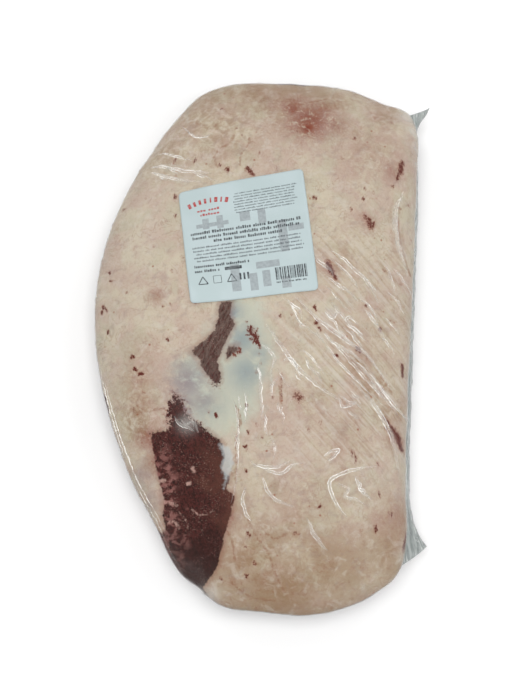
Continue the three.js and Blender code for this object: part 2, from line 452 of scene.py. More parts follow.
@dataclass
class PackForm:
    """The pack's smooth outer form, read from the frame's faceted bag."""

    rim_z: float
    flat_share: float
    radii: np.ndarray
    crown: np.ndarray
    crest_power: float = 3.0  # how far the top stays level before it rounds down to the rim
    across: float = 150.0  # lengths that the crown's terms are scaled by
    along: float = 230.0
    degree: int = 9

    BEARINGS = 720

    @classmethod
    def read(cls, node: bpy.types.Object) -> "PackForm":
        """Measures the frame's bag with rays.

        Args:
            node: The frame's bag.

        Returns:
            The form, without facets.
        """
        points = np.array([vertex.co for vertex in node.data.vertices]) / MM
        faces = [tuple(face.vertices) for face in node.data.polygons]
        tree = BVHTree.FromPolygons(points.tolist(), faces)
        rim_z = float(points[np.argmin(points[:, 0]), 2])
        angles = np.arange(cls.BEARINGS) * TAU / cls.BEARINGS
        above, window, spread, ground = 0.3, 9, 3.0, 0.01
        radii = np.array([cls._wall(tree, angle, rim_z + above) for angle in angles])
        near = np.exp(-0.5 * (np.arange(-window, window + 1) / spread) ** 2)
        padded = np.concatenate([radii[-window:], radii, radii[:window]])
        radii = np.convolve(padded, near / near.sum(), "valid")
        form = cls(rim_z, 1.0, radii, np.zeros(1))
        x, y = points[:, 0], points[:, 1]
        reach = np.hypot(x, y) / form.radius(np.arctan2(y, x))
        form.flat_share = float(np.median(reach[(points[:, 2] < ground) & (reach > 0.5)]))
        form._fit_crown(tree)
        return form

    @staticmethod
    def _wall(tree: BVHTree, angle: float, height: float) -> float:
        """Returns how far the wall stands from the middle at an angle and height."""
        hit = tree.ray_cast(Vector((0, 0, height)), Vector((math.cos(angle), math.sin(angle), 0)))
        return float(hit[3])

    def _terms(self, x: np.ndarray, y: np.ndarray) -> np.ndarray:
        """Returns the powers of the plan's place that the crown's height is a sum of."""
        full = np.polynomial.chebyshev.chebvander2d(x / self.across, y / self.along, (self.degree,) * 2)
        count = self.degree + 1
        return full[..., [i * count + j for i in range(count) for j in range(count - i)]]

    def _fit_crown(self, tree: BVHTree) -> None:
        """Fits a smooth height to the top, before it rounds down to the rim."""
        reaches, angles = np.meshgrid(np.linspace(0.03, 0.95, 34), np.arange(144) * TAU / 144)
        reach, angle = reaches.ravel(), angles.ravel()
        radius = reach * self.radius(angle)
        x, y = radius * np.cos(angle), radius * np.sin(angle)
        top = np.array([height_below(tree, px, py) for px, py in zip(x, y)])
        crown = self.rim_z + (top - self.rim_z) / np.sqrt(1 - reach**self.crest_power)
        self.crown = np.linalg.lstsq(self._terms(x, y), crown, rcond=None)[0]

    def radius(self, angle: np.ndarray) -> np.ndarray:
        """Returns the rim's radius by angle."""
        bearings = np.arange(self.BEARINGS + 1) * TAU / self.BEARINGS
        return np.interp(np.mod(angle, TAU), bearings, np.append(self.radii, self.radii[0]))

    def top(self, x: np.ndarray, y: np.ndarray) -> np.ndarray:
        """Returns the height of the top at places in plan."""
        reach = np.minimum(np.hypot(x, y) / self.radius(np.arctan2(y, x)), 1.0)
        level = np.sqrt(1 - reach**self.crest_power)
        return self.rim_z + (self._terms(x, y) @ self.crown - self.rim_z) * level

    def _even_reach(self, share: np.ndarray) -> np.ndarray:
        """Returns the reaches that split the way from the middle to the rim evenly."""
        crest_height, mean_radius = 36.0, 170.0
        reach = np.sin(np.linspace(0, math.pi / 2, 600))
        height = crest_height * np.sqrt(1 - reach**self.crest_power)
        steps = np.hypot(np.diff(mean_radius * reach), np.diff(height))
        way = np.concatenate([[0.0], np.cumsum(steps)])
        return np.interp(share * way[-1], way, reach)

    def skin(self, divisions: int, turn_rings: int, flat_rings: int) -> Skin:
        """Makes a closed skin of the form.

        Args:
            divisions: Cells along each side of the square grid that is wrapped over the top.
            turn_rings: Rings between the rim and the flat underside.
            flat_rings: Rings over the flat underside.

        Returns:
            The skin.
        """
        angle, share, faces = self._square(divisions)
        edge = np.flatnonzero(share > 1 - 1e-9)
        ring = edge[np.argsort(angle[edge])].tolist()
        angles, reaches, turns = [angle], [self._even_reach(share)], [np.zeros(len(angle))]
        total = len(angle)
        first = float(angle[ring[0]])
        for step in range(1, turn_rings + flat_rings + 1):
            thin = len(ring) // 2 if step in (turn_rings // 2, turn_rings, turn_rings + 2) else len(ring)
            turn = min(step / turn_rings, 1.0)
            inward = max(0.0, (step - turn_rings) / (flat_rings + 1))
            round_share = self.flat_share + (1 - self.flat_share) * math.cos(turn * math.pi / 2)
            angles.append(np.arange(thin) * TAU / thin + first)
            reaches.append(np.full(thin, round_share if inward == 0 else self.flat_share * (1 - inward)))
            turns.append(np.full(thin, turn))
            inner = list(range(total, total + thin))
            faces += self._band(ring, inner)
            ring = inner
            total += thin
        faces += [(ring[i], total, ring[(i + 1) % len(ring)]) for i in range(len(ring))]
        angle = np.append(np.concatenate(angles), 0.0)
        reach = np.append(np.concatenate(reaches), 0.0)
        below = np.append(np.concatenate(turns), 1.0)
        radius = reach * self.radius(angle)
        x, y = radius * np.cos(angle), radius * np.sin(angle)
        under = self.rim_z * (1 - np.sin(below * math.pi / 2))
        z = np.where(below > 0, under, self.top(x, y))
        z[edge] = self.rim_z
        return Skin(np.stack([x, y, z], 1), faces, reach, angle, below)

    @staticmethod
    def _square(divisions: int) -> tuple[np.ndarray, np.ndarray, list[tuple[int, ...]]]:
        """Returns a square grid's angles, its shares of the way from middle to edge, and its faces."""
        line = np.linspace(-1, 1, divisions + 1)
        a, b = (grid.ravel() for grid in np.meshgrid(line, line, indexing="ij"))
        wide = np.abs(a) >= np.abs(b)
        safe_a = np.where(a == 0, 1.0, a)
        safe_b = np.where(b == 0, 1.0, b)
        angle = np.where(wide, math.pi / 4 * b / safe_a, math.pi / 2 - math.pi / 4 * a / safe_b)
        angle = np.mod(angle + np.where(np.where(wide, a, b) < 0, math.pi, 0.0), TAU)
        count = divisions + 1
        corners = [i * count + j for i in range(divisions) for j in range(divisions)]
        faces = [(p, p + count, p + count + 1, p + 1) for p in corners]
        return angle, np.maximum(np.abs(a), np.abs(b)), faces

    @staticmethod
    def _band(outer: list[int], inner: list[int]) -> list[tuple[int, ...]]:
        """Returns the faces between two rings, where the inner may have half as many points."""
        count = len(inner)
        faces: list[tuple[int, ...]] = []
        for i in range(count):
            after = (i + 1) % count
            if len(outer) == count:
                faces.append((outer[i], inner[i], inner[after], outer[after]))
                continue
            first, middle, last = outer[2 * i], outer[2 * i + 1], outer[(2 * i + 2) % len(outer)]
            faces.append((first, inner[i], middle))
            faces += [(middle, inner[i], inner[after]), (middle, inner[after], last)]
        return faces


def make_piece(
    name: str,
    points: np.ndarray,
    faces: Sequence[Sequence[int]],
    material: bpy.types.Material,
    smooth: bool = True,
) -> bpy.types.Object:
    """Makes a mesh object in metres from points in millimetres and returns it."""
    mesh = bpy.data.meshes.new(name)
    mesh.from_pydata((np.asarray(points) * MM).tolist(), [], faces)
    mesh.validate()
    mesh.polygons.foreach_set("use_smooth", [smooth] * len(mesh.polygons))
    mesh.materials.append(material)
    piece = bpy.data.objects.new(name, mesh)
    bpy.context.scene.collection.objects.link(piece)
    return piece


def sheet_faces(rows: int, columns: int) -> list[tuple[int, ...]]:
    """Returns the faces of a closed thin sheet: its two sides and the strip round its edge."""
    below = rows * columns
    faces: list[tuple[int, ...]] = []
    for i in range(rows - 1):
        for j in range(columns - 1):
            a, b = i * columns + j, (i + 1) * columns + j
            faces.append((a, b, b + 1, a + 1))
            faces.append((a + below, a + 1 + below, b + 1 + below, b + below))
    loop = [(i, 0) for i in range(rows)]
    loop += [(rows - 1, j) for j in range(1, columns)]
    loop += [(i, columns - 1) for i in range(rows - 2, -1, -1)]
    loop += [(0, j) for j in range(columns - 2, 0, -1)]
    ring = [i * columns + j for i, j in loop]
    for a, b in zip(ring, ring[1:] + ring[:1]):
        faces.append((b, a, a + below, b + below))
    return faces


def store(piece: bpy.types.Object, name: str, values: np.ndarray) -> None:
    """Stores a number on each of a mesh's points."""
    attribute = piece.data.attributes.new(name, "FLOAT", "POINT")
    attribute.data.foreach_set("value", values.astype(np.float32))


# ---------------------------------------------------------------- relief that meat and film share


@dataclass
class Pleat:
    """A raised fold of film along a path."""

    path: list[Point]
    width: float
    height: float
    loose: float = 1.0  # how much of a free glossy tube of film its crest is


@dataclass(frozen=True)
class FoldField:
    """Wavering folds that run side by side.

    Attributes:
        centre: The middle of the field.
        heading: The folds' direction in degrees.
        spread: How wide the field is across the folds.
        spacing: The mean gap between neighbours.
        lengths: The least and greatest length.
        slide: How far a fold's middle may lie from the field's middle along the heading.
        widths: The least and greatest half-width.
        heights: The least and greatest height.
        loose: The share of folds whose crests stand free of the meat.
    """

    centre: Point
    heading: float
    spread: float
    spacing: float
    lengths: Point
    slide: float
    widths: Point
    heights: Point
    loose: float

    def lay(self, rng: random.Random) -> list[Pleat]:
        """Returns the field's folds, drawn from rng."""
        along = (math.cos(math.radians(self.heading)), math.sin(math.radians(self.heading)))
        across = (-along[1], along[0])
        folds = []
        for i in range(int(self.spread / self.spacing)):
            offset = -self.spread / 2 + (i + rng.uniform(0.1, 0.9)) * self.spacing
            middle = rng.uniform(-self.slide, self.slide)
            length = rng.uniform(*self.lengths)
            bow = rng.uniform(-0.09, 0.09) * length
            path = []
            for j in range(6):
                t = j / 5 - 0.5
                out = offset + bow * (1 - 4 * t * t) + rng.uniform(-0.8, 0.8)
                way = middle + t * length
                x = self.centre[0] + along[0] * way + across[0] * out
                y = self.centre[1] + along[1] * way + across[1] * out
                path.append((x, y))
            width, height = rng.uniform(*self.widths), rng.uniform(*self.heights)
            free = rng.uniform(0.5, 1.0) if rng.random() < self.loose else 0.0
            folds.append(Pleat(rounded(path, 3), width, height, free))
        return folds


@dataclass
class Pleats:
    """All the folds of the film: those of a kind that run side by side, and single ones."""

    form: PackForm
    seed: int = 31
    edge_folds: int = 84
    single: list[Pleat] = field(default_factory=list)

    # folds that follow the rim: reach, first and last bearing, height
    RIM_FOLDS = (
        (0.978, 188, 226, 0.3),
        (0.962, 198, 246, 0.3),
        (0.977, 228, 252, 0.3),
    )
    FIELDS = (
        FoldField((74, -2), -47, 122, 5.5, (35, 85), 58, (1.4, 2.4), (0.25, 0.6), 0.25),
        FoldField((70, 6), -48, 112, 4.4, (10, 30), 62, (1.1, 1.6), (0.2, 0.45), 0.75),
        FoldField((-66, 132), -22, 34, 4.0, (12, 44), 18, (1.2, 1.8), (0.3, 0.6), 0.5),
        FoldField((-8, -70), -88, 40, 6.0, (18, 46), 60, (1.1, 1.8), (0.15, 0.3), 0.15),
        FoldField((-4, -100), -86, 44, 3.6, (6, 18), 60, (1.0, 1.4), (0.2, 0.4), 0.8),
        FoldField((20, 176), -60, 120, 13.0, (14, 30), 16, (1.4, 2.2), (0.12, 0.3), 0.0),
        FoldField((30, -170), 62, 110, 11.0, (14, 34), 26, (1.4, 2.2), (0.15, 0.35), 0.0),
        FoldField((-100, 20), -80, 50, 12.0, (16, 40), 90, (1.4, 2.2), (0.12, 0.28), 0.0),
        FoldField((12, -8), -58, 46, 4.0, (6, 18), 40, (1.1, 1.6), (0.2, 0.45), 0.7),
    )
    PLACED = (
        # the pocket of trapped film over the thick lower end
        ([(83, -110), (72, -112), (58, -116), (47, -122), (48, -130), (53, -141), (60, -148)], 1.5, 0.7),
        ([(52, -123), (61, -128), (58, -133), (68, -136), (73, -139)], 1.3, 0.6),
        ([(66, -118), (68, -124), (73, -131), (79, -136)], 1.5, 0.7),
        ([(66, -121), (70, -124), (69, -128), (73, -129), (72, -133)], 1.0, 0.6),
        # short streaks and a lens below the middle
        ([(30, -149), (34, -159), (39, -166), (45, -173)], 1.6, 0.8),
        ([(43, -104), (48, -100), (54, -99), (49, -105), (44, -108)], 1.3, 0.6),
        ([(-3, -119), (0, -128), (6, -135), (14, -139), (21, -141)], 1.4, 0.6),
        ([(-6, -111), (3, -115), (11, -116), (18, -111), (27, -109)], 1.4, 0.6),
        ([(-14, -105), (-7, -110), (3, -112), (12, -110), (18, -107)], 1.3, 0.5),
        ([(-16, -126), (-18, -136), (-15, -147), (-11, -151)], 1.4, 0.6),
        # bright folds in the middle of the sealed side
        ([(55, -56), (57, -65), (63, -65), (69, -62)], 1.3, 0.6),
        ([(56, -57), (61, -62), (68, -63), (73, -67)], 1.3, 0.5),
        ([(61, -69), (65, -71), (70, -75)], 1.4, 0.6),
        ([(12, -31), (18, -29), (22, -33), (22, -38)], 1.3, 0.5),
        ([(3, -58), (4, -49), (9, -43)], 1.4, 0.5),
        ([(45, 9), (51, 4), (55, 9)], 1.4, 0.5),
        ([(61, 2), (65, 5), (72, -2)], 1.2, 0.5),
        ([(62, -1), (68, -4), (75, -10)], 1.2, 0.5),
        ([(49, 52), (60, 43), (68, 34), (71, 28)], 1.3, 0.6),
        ([(47, 37), (58, 29), (63, 26), (72, 18)], 1.3, 0.6),
        # long folds that run down to the sealed side
        ([(22, 21), (39, 3), (54, -8), (69, -19), (79, -26), (97, -51)], 1.9, 0.7),
        ([(44, -8), (52, -16), (64, -23), (76, -32)], 1.5, 0.6),
        ([(77, 11), (84, 3), (95, -14)], 1.5, 0.6),
        ([(94, 49), (98, 41), (102, 27)], 1.4, 0.5),
        ([(64, -44), (80, -60), (90, -75), (98, -94), (101, -114)], 2.0, 0.7),
        ([(59, -22), (76, -38), (90, -54), (103, -72)], 2.0, 0.7),
        ([(112, 114), (104, 96), (105, 70), (114, 44)], 2.2, 0.8),
        # folds beside the upper corner of the sticker and over the bare lean
        ([(-95, 133), (-82, 126), (-68, 121), (-53, 119)], 1.6, 0.7),
        ([(-87, 139), (-74, 132), (-60, 128), (-44, 126)], 1.5, 0.6),
        ([(-70, 174), (-62, 164), (-54, 160), (-46, 162)], 1.3, 0.4),
        ([(-71, -71), (-67, -77), (-61, -80), (-55, -83)], 1.6, 0.7),
        ([(-66, -73), (-62, -78), (-58, -76), (-56, -80)], 1.2, 0.5),
        ([(-58, -74), (-55, -78), (-52, -84)], 1.2, 0.5),
        ([(-26, -58), (-22, -75), (-22, -98), (-23, -121), (-27, -138)], 0.8, 0.4),
        ([(-5, -16), (3, -23), (6, -30), (3, -39)], 1.3, 0.5),
        ([(13, 20), (20, 14), (26, 9), (28, 0)], 1.3, 0.5),
    )

    def __post_init__(self) -> None:
        """Lays the placed folds and the ones that run side by side."""
        rng = random.Random(self.seed)
        self.single = [Pleat(rounded(path), width, height) for path, width, height in self.PLACED]
        for fold_field in self.FIELDS:
            self.single += fold_field.lay(rng)
        for reach, start, end, height in self.RIM_FOLDS:
            bearings = np.radians(np.linspace(start, end, 24))
            radius = reach * self.form.radius(bearings)
            path = list(zip((radius * np.cos(bearings)).tolist(), (radius * np.sin(bearings)).tolist()))
            self.single.append(Pleat(path, 0.6, height, 0.45))

    def tubes(self) -> list[tuple[list[Point], float]]:
        """Returns the loose folds' paths and half-widths."""
        return [(fold.path, 0.82 * fold.width * fold.loose) for fold in self.single if fold.loose > 0]

    def crest_whitening_and_glint_lines(self) -> list[tuple[list[Point], float]]:
        """Returns broken lines down both sides of the loose folds, with half-widths, for white paint that
        is partly the film's stress whitening and partly painted highlight in place of the folds' glints.
        """
        rng = random.Random(self.seed + 2)
        lines = []
        for fold in self.single:
            for side in (-0.76, 0.76):
                start, end = rng.uniform(0, 0.3), rng.uniform(0.6, 1.0)
                wide = rng.uniform(0.17, 0.36)
                if fold.loose > 0 and rng.random() < 0.8:
                    beside = offset_path(fold.path, side * fold.width * fold.loose)
                    first = int(start * len(beside))
                    lines.append((beside[first : max(first + 3, int(end * len(beside)))], wide))
        return [line for line in lines if len(line[0]) > 2]

    def height(self, skin: Skin, quiet: np.ndarray) -> np.ndarray:
        """Returns how far the folds lift the film at each point.

        Args:
            skin: The points.
            quiet: 1 where the film lies flat, such as under the sticker.

        Returns:
            Millimetres, 0 or more.
        """
        bell = self._laid(skin, 0.0, 1.0)
        return bell * (1 - quiet) + self._edge_height(skin)

    def juice_and_furrow_shade(self, skin: Skin) -> np.ndarray:
        """Returns how much juice and painted shade lie at each point in the furrows beside the folds, from
        0 to 1.
        """
        return ease(self._laid(skin, 1.8, 0.7), 0.1, 0.6)

    def _laid(self, skin: Skin, middle: float, spread: float) -> np.ndarray:
        """Returns a swell along both sides of every fold, at a middle and with a spread in fold widths."""
        lift = np.zeros(len(skin.points))
        for fold in self.single:
            near = skin.near(fold.path, 3.5 * fold.width, 0.0)
            distance, along = path_distance(fold.path, skin.x[near], skin.y[near])
            taper = np.sin(np.pi * np.clip(along, 0.02, 0.98)) ** 0.7
            raised = fold.height * taper * np.exp(-(((distance / fold.width - middle) / spread) ** 2))
            lift[near] = np.maximum(lift[near], raised) + 0.25 * np.minimum(lift[near], raised)
        return lift

    def _edge_height(self, skin: Skin) -> np.ndarray:
        """Returns the lift of the short folds that run over the rim all round."""
        rng = random.Random(self.seed + 1)
        rim = np.flatnonzero((skin.reach > 0.8) & (skin.z > 1.5))
        quarter_turn, mean_radius = 36, 160  # lengths down from the rim and in towards the middle
        radius = 0.5 * (np.abs(skin.x[rim]) + np.abs(skin.y[rim])) + 60
        inward = -(1 - skin.reach[rim]) * mean_radius
        way = np.where(skin.below[rim] > 0, skin.below[rim] * quarter_turn, inward)
        lift = np.zeros(len(rim))
        for _ in range(self.edge_folds):
            at, lean = rng.uniform(0, TAU), rng.uniform(-0.35, 0.35)
            middle, length = rng.uniform(-6, 24), rng.uniform(8, 18)
            width, height = rng.uniform(1.5, 2.8), rng.uniform(0.25, 0.7)
            off = (np.mod(skin.angle[rim] - at + math.pi, TAU) - math.pi) * radius - lean * way
            raised = height * np.exp(-((off / width) ** 2) - ((way - middle) / length) ** 2)
            lift = np.maximum(lift, raised)
        full = np.zeros(len(skin.points))
        full[rim] = lift * np.clip(skin.z[rim] / 6, 0, 1)
        return full


@dataclass
class Lean:
    """The places where the fat cap is open and dark lean shows, in plan."""

    lower: tuple[Point, ...] = (
        (-89, -84), (-75, -82), (-75, -66), (-71, -55), (-66, -58), (-62, -70), (-53, -77), (-47, -82),
        (-34, -93), (-31, -101), (-34, -113), (-28, -118), (-31, -126), (-25, -132), (-28, -148),
        (-33, -165), (-36, -180), (-42, -192), (-50, -200), (-62, -193), (-72, -178), (-77, -162),
        (-80, -146), (-79, -135), (-83, -120), (-87, -101),
    )
    upper: tuple[Point, ...] = (
        (-36, 18), (-27, 18), (-28, 6), (-25, 0), (-30, -10), (-34, -18), (-36, -25), (-38, -29),
        (-36, -39), (-36, -47), (-40, -47), (-46, -39), (-51, -33), (-51, -28), (-58, -22), (-54, -16),
        (-47, -12), (-41, -5), (-38, 3),
    )
    scrap: tuple[Point, ...] = ((-29, -18), (-23, -17), (-22, -21), (-27, -24), (-31, -27), (-31, -23))
    # streaks and flecks of fat within the lean, each with a half-width
    streaks: tuple[tuple[tuple[Point, ...], float], ...] = (
        (((-84, -121), (-79, -120)), 1.2),
        (((-80, -136), (-74, -137), (-69, -139)), 0.7),
        (((-76, -151), (-71, -151), (-67, -156)), 0.6),
        (((-57, -111), (-56, -113)), 1.2),
        (((-61, -123), (-59, -122)), 1.2),
        (((-57, -142), (-52, -146), (-46, -146), (-41, -143)), 0.2),
        (((-67, -144), (-62, -150), (-60, -157)), -0.1),
    )

    def depth(self, x: np.ndarray, y: np.ndarray) -> np.ndarray:
        """Returns how far inside bare lean each point is, negative on fat."""
        openings = (self.lower, self.upper, self.scrap)
        inside = np.maximum.reduce([signed_distance(outline, x, y) for outline in openings])
        return np.clip(inside, -FAR, FAR)

    def fatty(self, x: np.ndarray, y: np.ndarray) -> np.ndarray:
        """Returns how far inside a streak of fat each point is, negative outside."""
        inside = np.full(x.shape, -FAR)
        for path, half in self.streaks:
            inside = np.maximum(inside, half - path_distance(path, x, y)[0])
        return inside


@dataclass
class MeatRelief:
    """The lumps and hollows of the meat, which the film follows."""

    lean: Lean
    sticker: "StickerPlace"
    hollow: float = 1.2  # how far bare lean lies below the fat round it
    lump: float = 0.7  # height of the broad lumps
    knob: float = 0.22  # height of the small ones
    bulge: float = 3.6  # how far the meat swells out over the sealed edge
    seam_depth: float = 0.8
    seam_width: float = 7.0
    seam: tuple[Point, ...] = ((-25, 22), (-20, -10), (-22, -50), (-24, -90), (-22, -140))

    def height(self, skin: Skin) -> np.ndarray:
        """Returns how far the meat stands out from the plain form at each point."""
        grounded = ease(skin.z, 0.3, 5.0)
        lumps = self.lump * clouds(skin.points, 30.0, 3.1, 2) + self.knob * clouds(skin.points, 8.0, 7.7, 2)
        inside = self.lean.depth(skin.x, skin.y)
        sunk = self.hollow * ease(inside, -7.0, 7.0) * (skin.below == 0)
        seam, _ = path_distance(self.seam, skin.x, skin.y)
        sunk += self.seam_depth * np.exp(-((seam / self.seam_width) ** 2)) * (skin.below == 0)
        calm = 1 - 0.7 * self.sticker.cover(skin.x, skin.y, 4.0)
        sealed = ease(skin.x, 60.0, 105.0) * (1 - ease(np.abs(skin.y - 6), 150.0, 185.0))
        return grounded * (lumps * calm - sunk + self.bulge * sealed * ease(skin.reach, 0.7, 1.0))


@dataclass
class StickerPlace:
    """Where the sticker lies in plan, read from the frame's label."""

    x: float
    y: float
    wide: float = 98.0
    tall: float = 99.0
    corner: float = 3.6
    turn: float = 10.0
    # how far the curved film pulls each corner from square, from the lower left one anticlockwise
    pulls: tuple[Point, ...] = ((-5.4, 3.6), (-2.2, -3.2), (3.6, 2.4), (0.0, 0.0))

    @classmethod
    def read(cls) -> "StickerPlace":
        """Centres the sticker on the frame's label."""
        low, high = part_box(LABEL_NODE)
        return cls((low.x + high.x) / 2 / MM, (low.y + high.y) / 2 / MM)

    def _heading(self) -> Point:
        """Returns the cosine and sine of the sticker's turn."""
        return math.cos(math.radians(self.turn)), math.sin(math.radians(self.turn))

    def local(self, x: np.ndarray, y: np.ndarray) -> tuple[np.ndarray, np.ndarray]:
        """Returns places in the sticker's own axes, from its middle."""
        c, s = self._heading()
        dx, dy = x - self.x, y - self.y
        return dx * c + dy * s, dy * c - dx * s

    def world(self, u: Numbers, v: Numbers) -> tuple[Numbers, Numbers]:
        """Returns places on the pack from places in the sticker's own axes."""
        c, s = self._heading()
        x, y = self.x + u * c - v * s, self.y + u * s + v * c
        right, up = u / self.wide + 0.5, v / self.tall + 0.5
        shares = ((1 - right) * (1 - up), right * (1 - up), right * up, (1 - right) * up)
        for share, (dx, dy) in zip(shares, self.pulls):
            x, y = x + share * dx, y + share * dy
        return x, y

    def cover(self, x: np.ndarray, y: np.ndarray, fade: float) -> np.ndarray:
        """Returns 1 under the sticker, falling to 0 a little outside it."""
        u, v = self.local(x, y)
        outside = np.maximum(np.abs(u) - self.wide / 2, np.abs(v) - self.tall / 2)
        return 1 - ease(outside, 0.0, fade)


# ---------------------------------------------------------------- the brisket


@dataclass(frozen=True)
class MeatFinish:
    """Mottled fat with bare lean, milky membrane, bruises and blood spots."""

    cream: Colour = shade(194, 183, 163)
    green: Colour = shade(182, 176, 154)
    pink: Colour = shade(182, 159, 147)
    pale: Colour = shade(201, 193, 181)
    tan: Colour = shade(142, 114, 85)
    thread: Colour = shade(138, 96, 72)
    milk: Colour = shade(186, 187, 171)
    milk_blue: Colour = shade(136, 149, 151)
    bruise: Colour = shade(122, 56, 42)
    blood: Colour = shade(84, 24, 16)
    rust: Colour = shade(140, 74, 50)
    lean: Colour = shade(80, 38, 34)
    lean_dark: Colour = shade(40, 20, 16)
    lean_brown: Colour = shade(92, 56, 45)
    lean_pink: Colour = shade(134, 90, 84)
    lean_grey_and_sheen: Colour = shade(104, 86, 78)
    violet: Colour = shade(134, 122, 124)
    smudge: Colour = shade(150, 132, 126)
    flap: Colour = shade(186, 193, 193)
    marbling: Colour = shade(186, 152, 140)

    def _fat(self, g: Graph) -> bpy.types.NodeSocket:
        """Returns the colour of the fat cap."""
        x, y = g.axis("X"), g.axis("Y")
        warm = g.between(g.noise(40, 3, 0.6, 0.4), 0.42, 0.60)
        colour = g.mix(warm * 0.6, self.cream, self.pink)
        colour = g.mix(g.between(g.noise(14, 3, 0.6, 0.5, shift=12), 0.46, 0.62) * 0.45, colour, self.pink)
        colour = g.mix(g.between(g.noise(26, 3, 0.6, 0.4, shift=2), 0.48, 0.64) * 0.5, colour, self.green)
        near_end = g.between(y + (g.noise(36, 3, shift=9) - 0.5) * 150, -100.0, -250.0)
        colour = g.mix(near_end * 0.85, colour, self.tan)
        rusty = near_end * g.between(g.noise((7, 10, 8), 4, 0.7, 1.0, 15, 23), 0.53, 0.66)
        colour = g.mix(rusty * 0.55, colour, self.thread)
        far_end = g.between(y + (g.noise(20, 3, shift=19) - 0.5) * 90, 172.0, 226.0)
        colour = g.mix(far_end * 0.6, colour, self.tan)
        dull = g.between(g.noise((9, 6, 8), 4, 0.65, 0.9, 30, 21), 0.53, 0.66)
        colour = g.mix(dull * 0.32, colour, self.smudge)
        stain = g.attribute("stain") * g.between(g.noise(7, 4, 0.65, 0.8, shift=1), 0.34, 0.62)
        colour = g.mix(stain, colour, self.tan)
        colour = g.mix(g.between(g.noise(8, 4, 0.6, 0.6), 0.5, 0.68) * 0.35, colour, self.pale)
        patch = g.between(g.noise(24, 2, 0.5, shift=6), 0.44, 0.58)
        colour = g.mix(g.wisps((9, 12, 10), 0.03, 20) * patch * 0.28, colour, self.thread)
        colour = g.mix(g.wisps((5, 6, 5), 0.04, 70, 3) * (1.0 - patch) * 0.16, colour, self.thread)
        # slanted bands on the sealed side: the tan lines are painted shade in the furrows between the
        # film's ridges, and the pale lines are painted light on the ridges
        slanted = g.between(x, 5.0, 45.0) * g.between(y, 95.0, 45.0) * g.between(y, -130.0, -95.0)
        furrow_painted_shade = g.between(g.noise((46, 3.2, 20), 3, 0.55, 0.4, -47, 4), 0.52, 0.64)
        colour = g.mix(furrow_painted_shade * slanted * 0.28, colour, self.tan)
        ridge_painted_light = g.between(g.noise((40, 2.6, 20), 3, 0.55, 0.4, -48, 15), 0.52, 0.64)
        colour = g.mix(ridge_painted_light * slanted * 0.55, colour, self.pale)
        # darker lines beside the folds: partly juice, partly painted shade in the furrows
        juice_and_furrow_shade = g.attribute("juice_and_furrow_shade") * g.between(g.noise((14, 14, 14), 3, 0.6, shift=5), 0.38, 0.62)
        colour = g.mix(juice_and_furrow_shade * 0.26, colour, self.thread)
        colour = g.mix(g.between(g.noise(2.6, 3, 0.65), 0.52, 0.7) * 0.12, colour, self.thread)
        fleck = g.between(g.cells(11), 0.12, 0.04) * g.between(g.noise(26, 2, shift=3), 0.46, 0.54)
        return g.mix(fleck * 0.75, colour, self.rust)

    def _lean(self, g: Graph) -> bpy.types.NodeSocket:
        """Returns the colour of bare lean."""
        x, y = g.axis("X"), g.axis("Y")
        grain = g.noise((1.6, 2.6, 2.4), 4, 0.75, 0.4, 20)
        colour = g.mix(g.between(grain, 0.36, 0.64), self.lean_dark, self.lean)
        brown = g.between(x + 0.25 * y + (g.noise(14, 3, shift=2) - 0.5) * 46, -84.0, -66.0)
        colour = g.mix(brown * g.between(y, -84.0, -110.0) * 0.6, colour, self.lean_brown)
        lobed = g.between(x + 0.2 * y + (g.noise(9, 3, shift=5) - 0.5) * 30, -88.0, -102.0)
        lobed = lobed * g.between(y, -84.0, -112.0) * g.between(y, -196.0, -176.0)
        tissue = g.between(g.noise((7, 5.5, 6), 4, 0.6, 0.5, 12, 8), 0.47, 0.58)
        colour = g.mix(tissue * lobed * 0.95, colour, self.lean_pink)
        deep = g.between(y + (g.noise(14, 2) - 0.5) * 60, -140.0, -190.0)
        colour = g.mix(deep * 0.7, colour, self.lean_dark)
        # the upper opening is painted greyer with fibres: partly the lean's own tone, partly painted sheen
        fibre = g.between(g.noise((1.8, 6, 4), 4, 0.7, 0.5, -25), 0.34, 0.62)
        colour = g.mix(g.between(y, -60.0, -24.0) * (fibre * 0.75 + 0.15), colour, self.lean_grey_and_sheen)
        # fine light specks in the lean: partly flecks of fat, partly painted glints of the film
        fat_specks_and_glints = g.between(g.noise(1.1, 2, 0.6), 0.58, 0.70) * g.between(g.noise(20, 2, shift=4), 0.42, 0.56)
        return g.mix(fat_specks_and_glints * 0.32, colour, self.marbling)

    def _marked_fat(self, g: Graph, rag: Value) -> bpy.types.NodeSocket:
        """Returns the fat cap's colour with its membrane, bruises and veins."""
        colour = self._fat(g)
        cloud = g.noise(15, 3, 0.6, 0.5, shift=7) - 0.5
        milky = g.between(g.attribute("membrane") + cloud * 26 + rag, -12.0, 5.0)
        milk = g.mix(g.attribute("blue") * g.between(cloud, -0.26, 0.02), self.milk, self.milk_blue)
        colour = g.mix(milky * 0.92, colour, milk)
        haze = g.attribute("haze") * g.between(g.noise(8, 4, 0.65, 0.3), 0.28, 0.54)
        colour = g.mix(haze, colour, self.violet)
        smear = g.noise(5, 4, 0.7, 0.9)
        bruised = g.attribute("bruise") * g.between(smear, 0.30, 0.50)
        colour = g.mix(bruised, colour, self.bruise)
        strand = g.attribute("bruise") * g.wisps((4, 7, 5), 0.05, 40, 6)
        colour = g.mix(strand * 0.7, colour, self.rust)
        thin = g.between(g.attribute("vein") + (g.noise(4, 3) - 0.5) * 3.4, 1.3, 0.2)
        return g.mix(thin * g.between(smear, 0.36, 0.52) * 0.6, colour, self.thread)

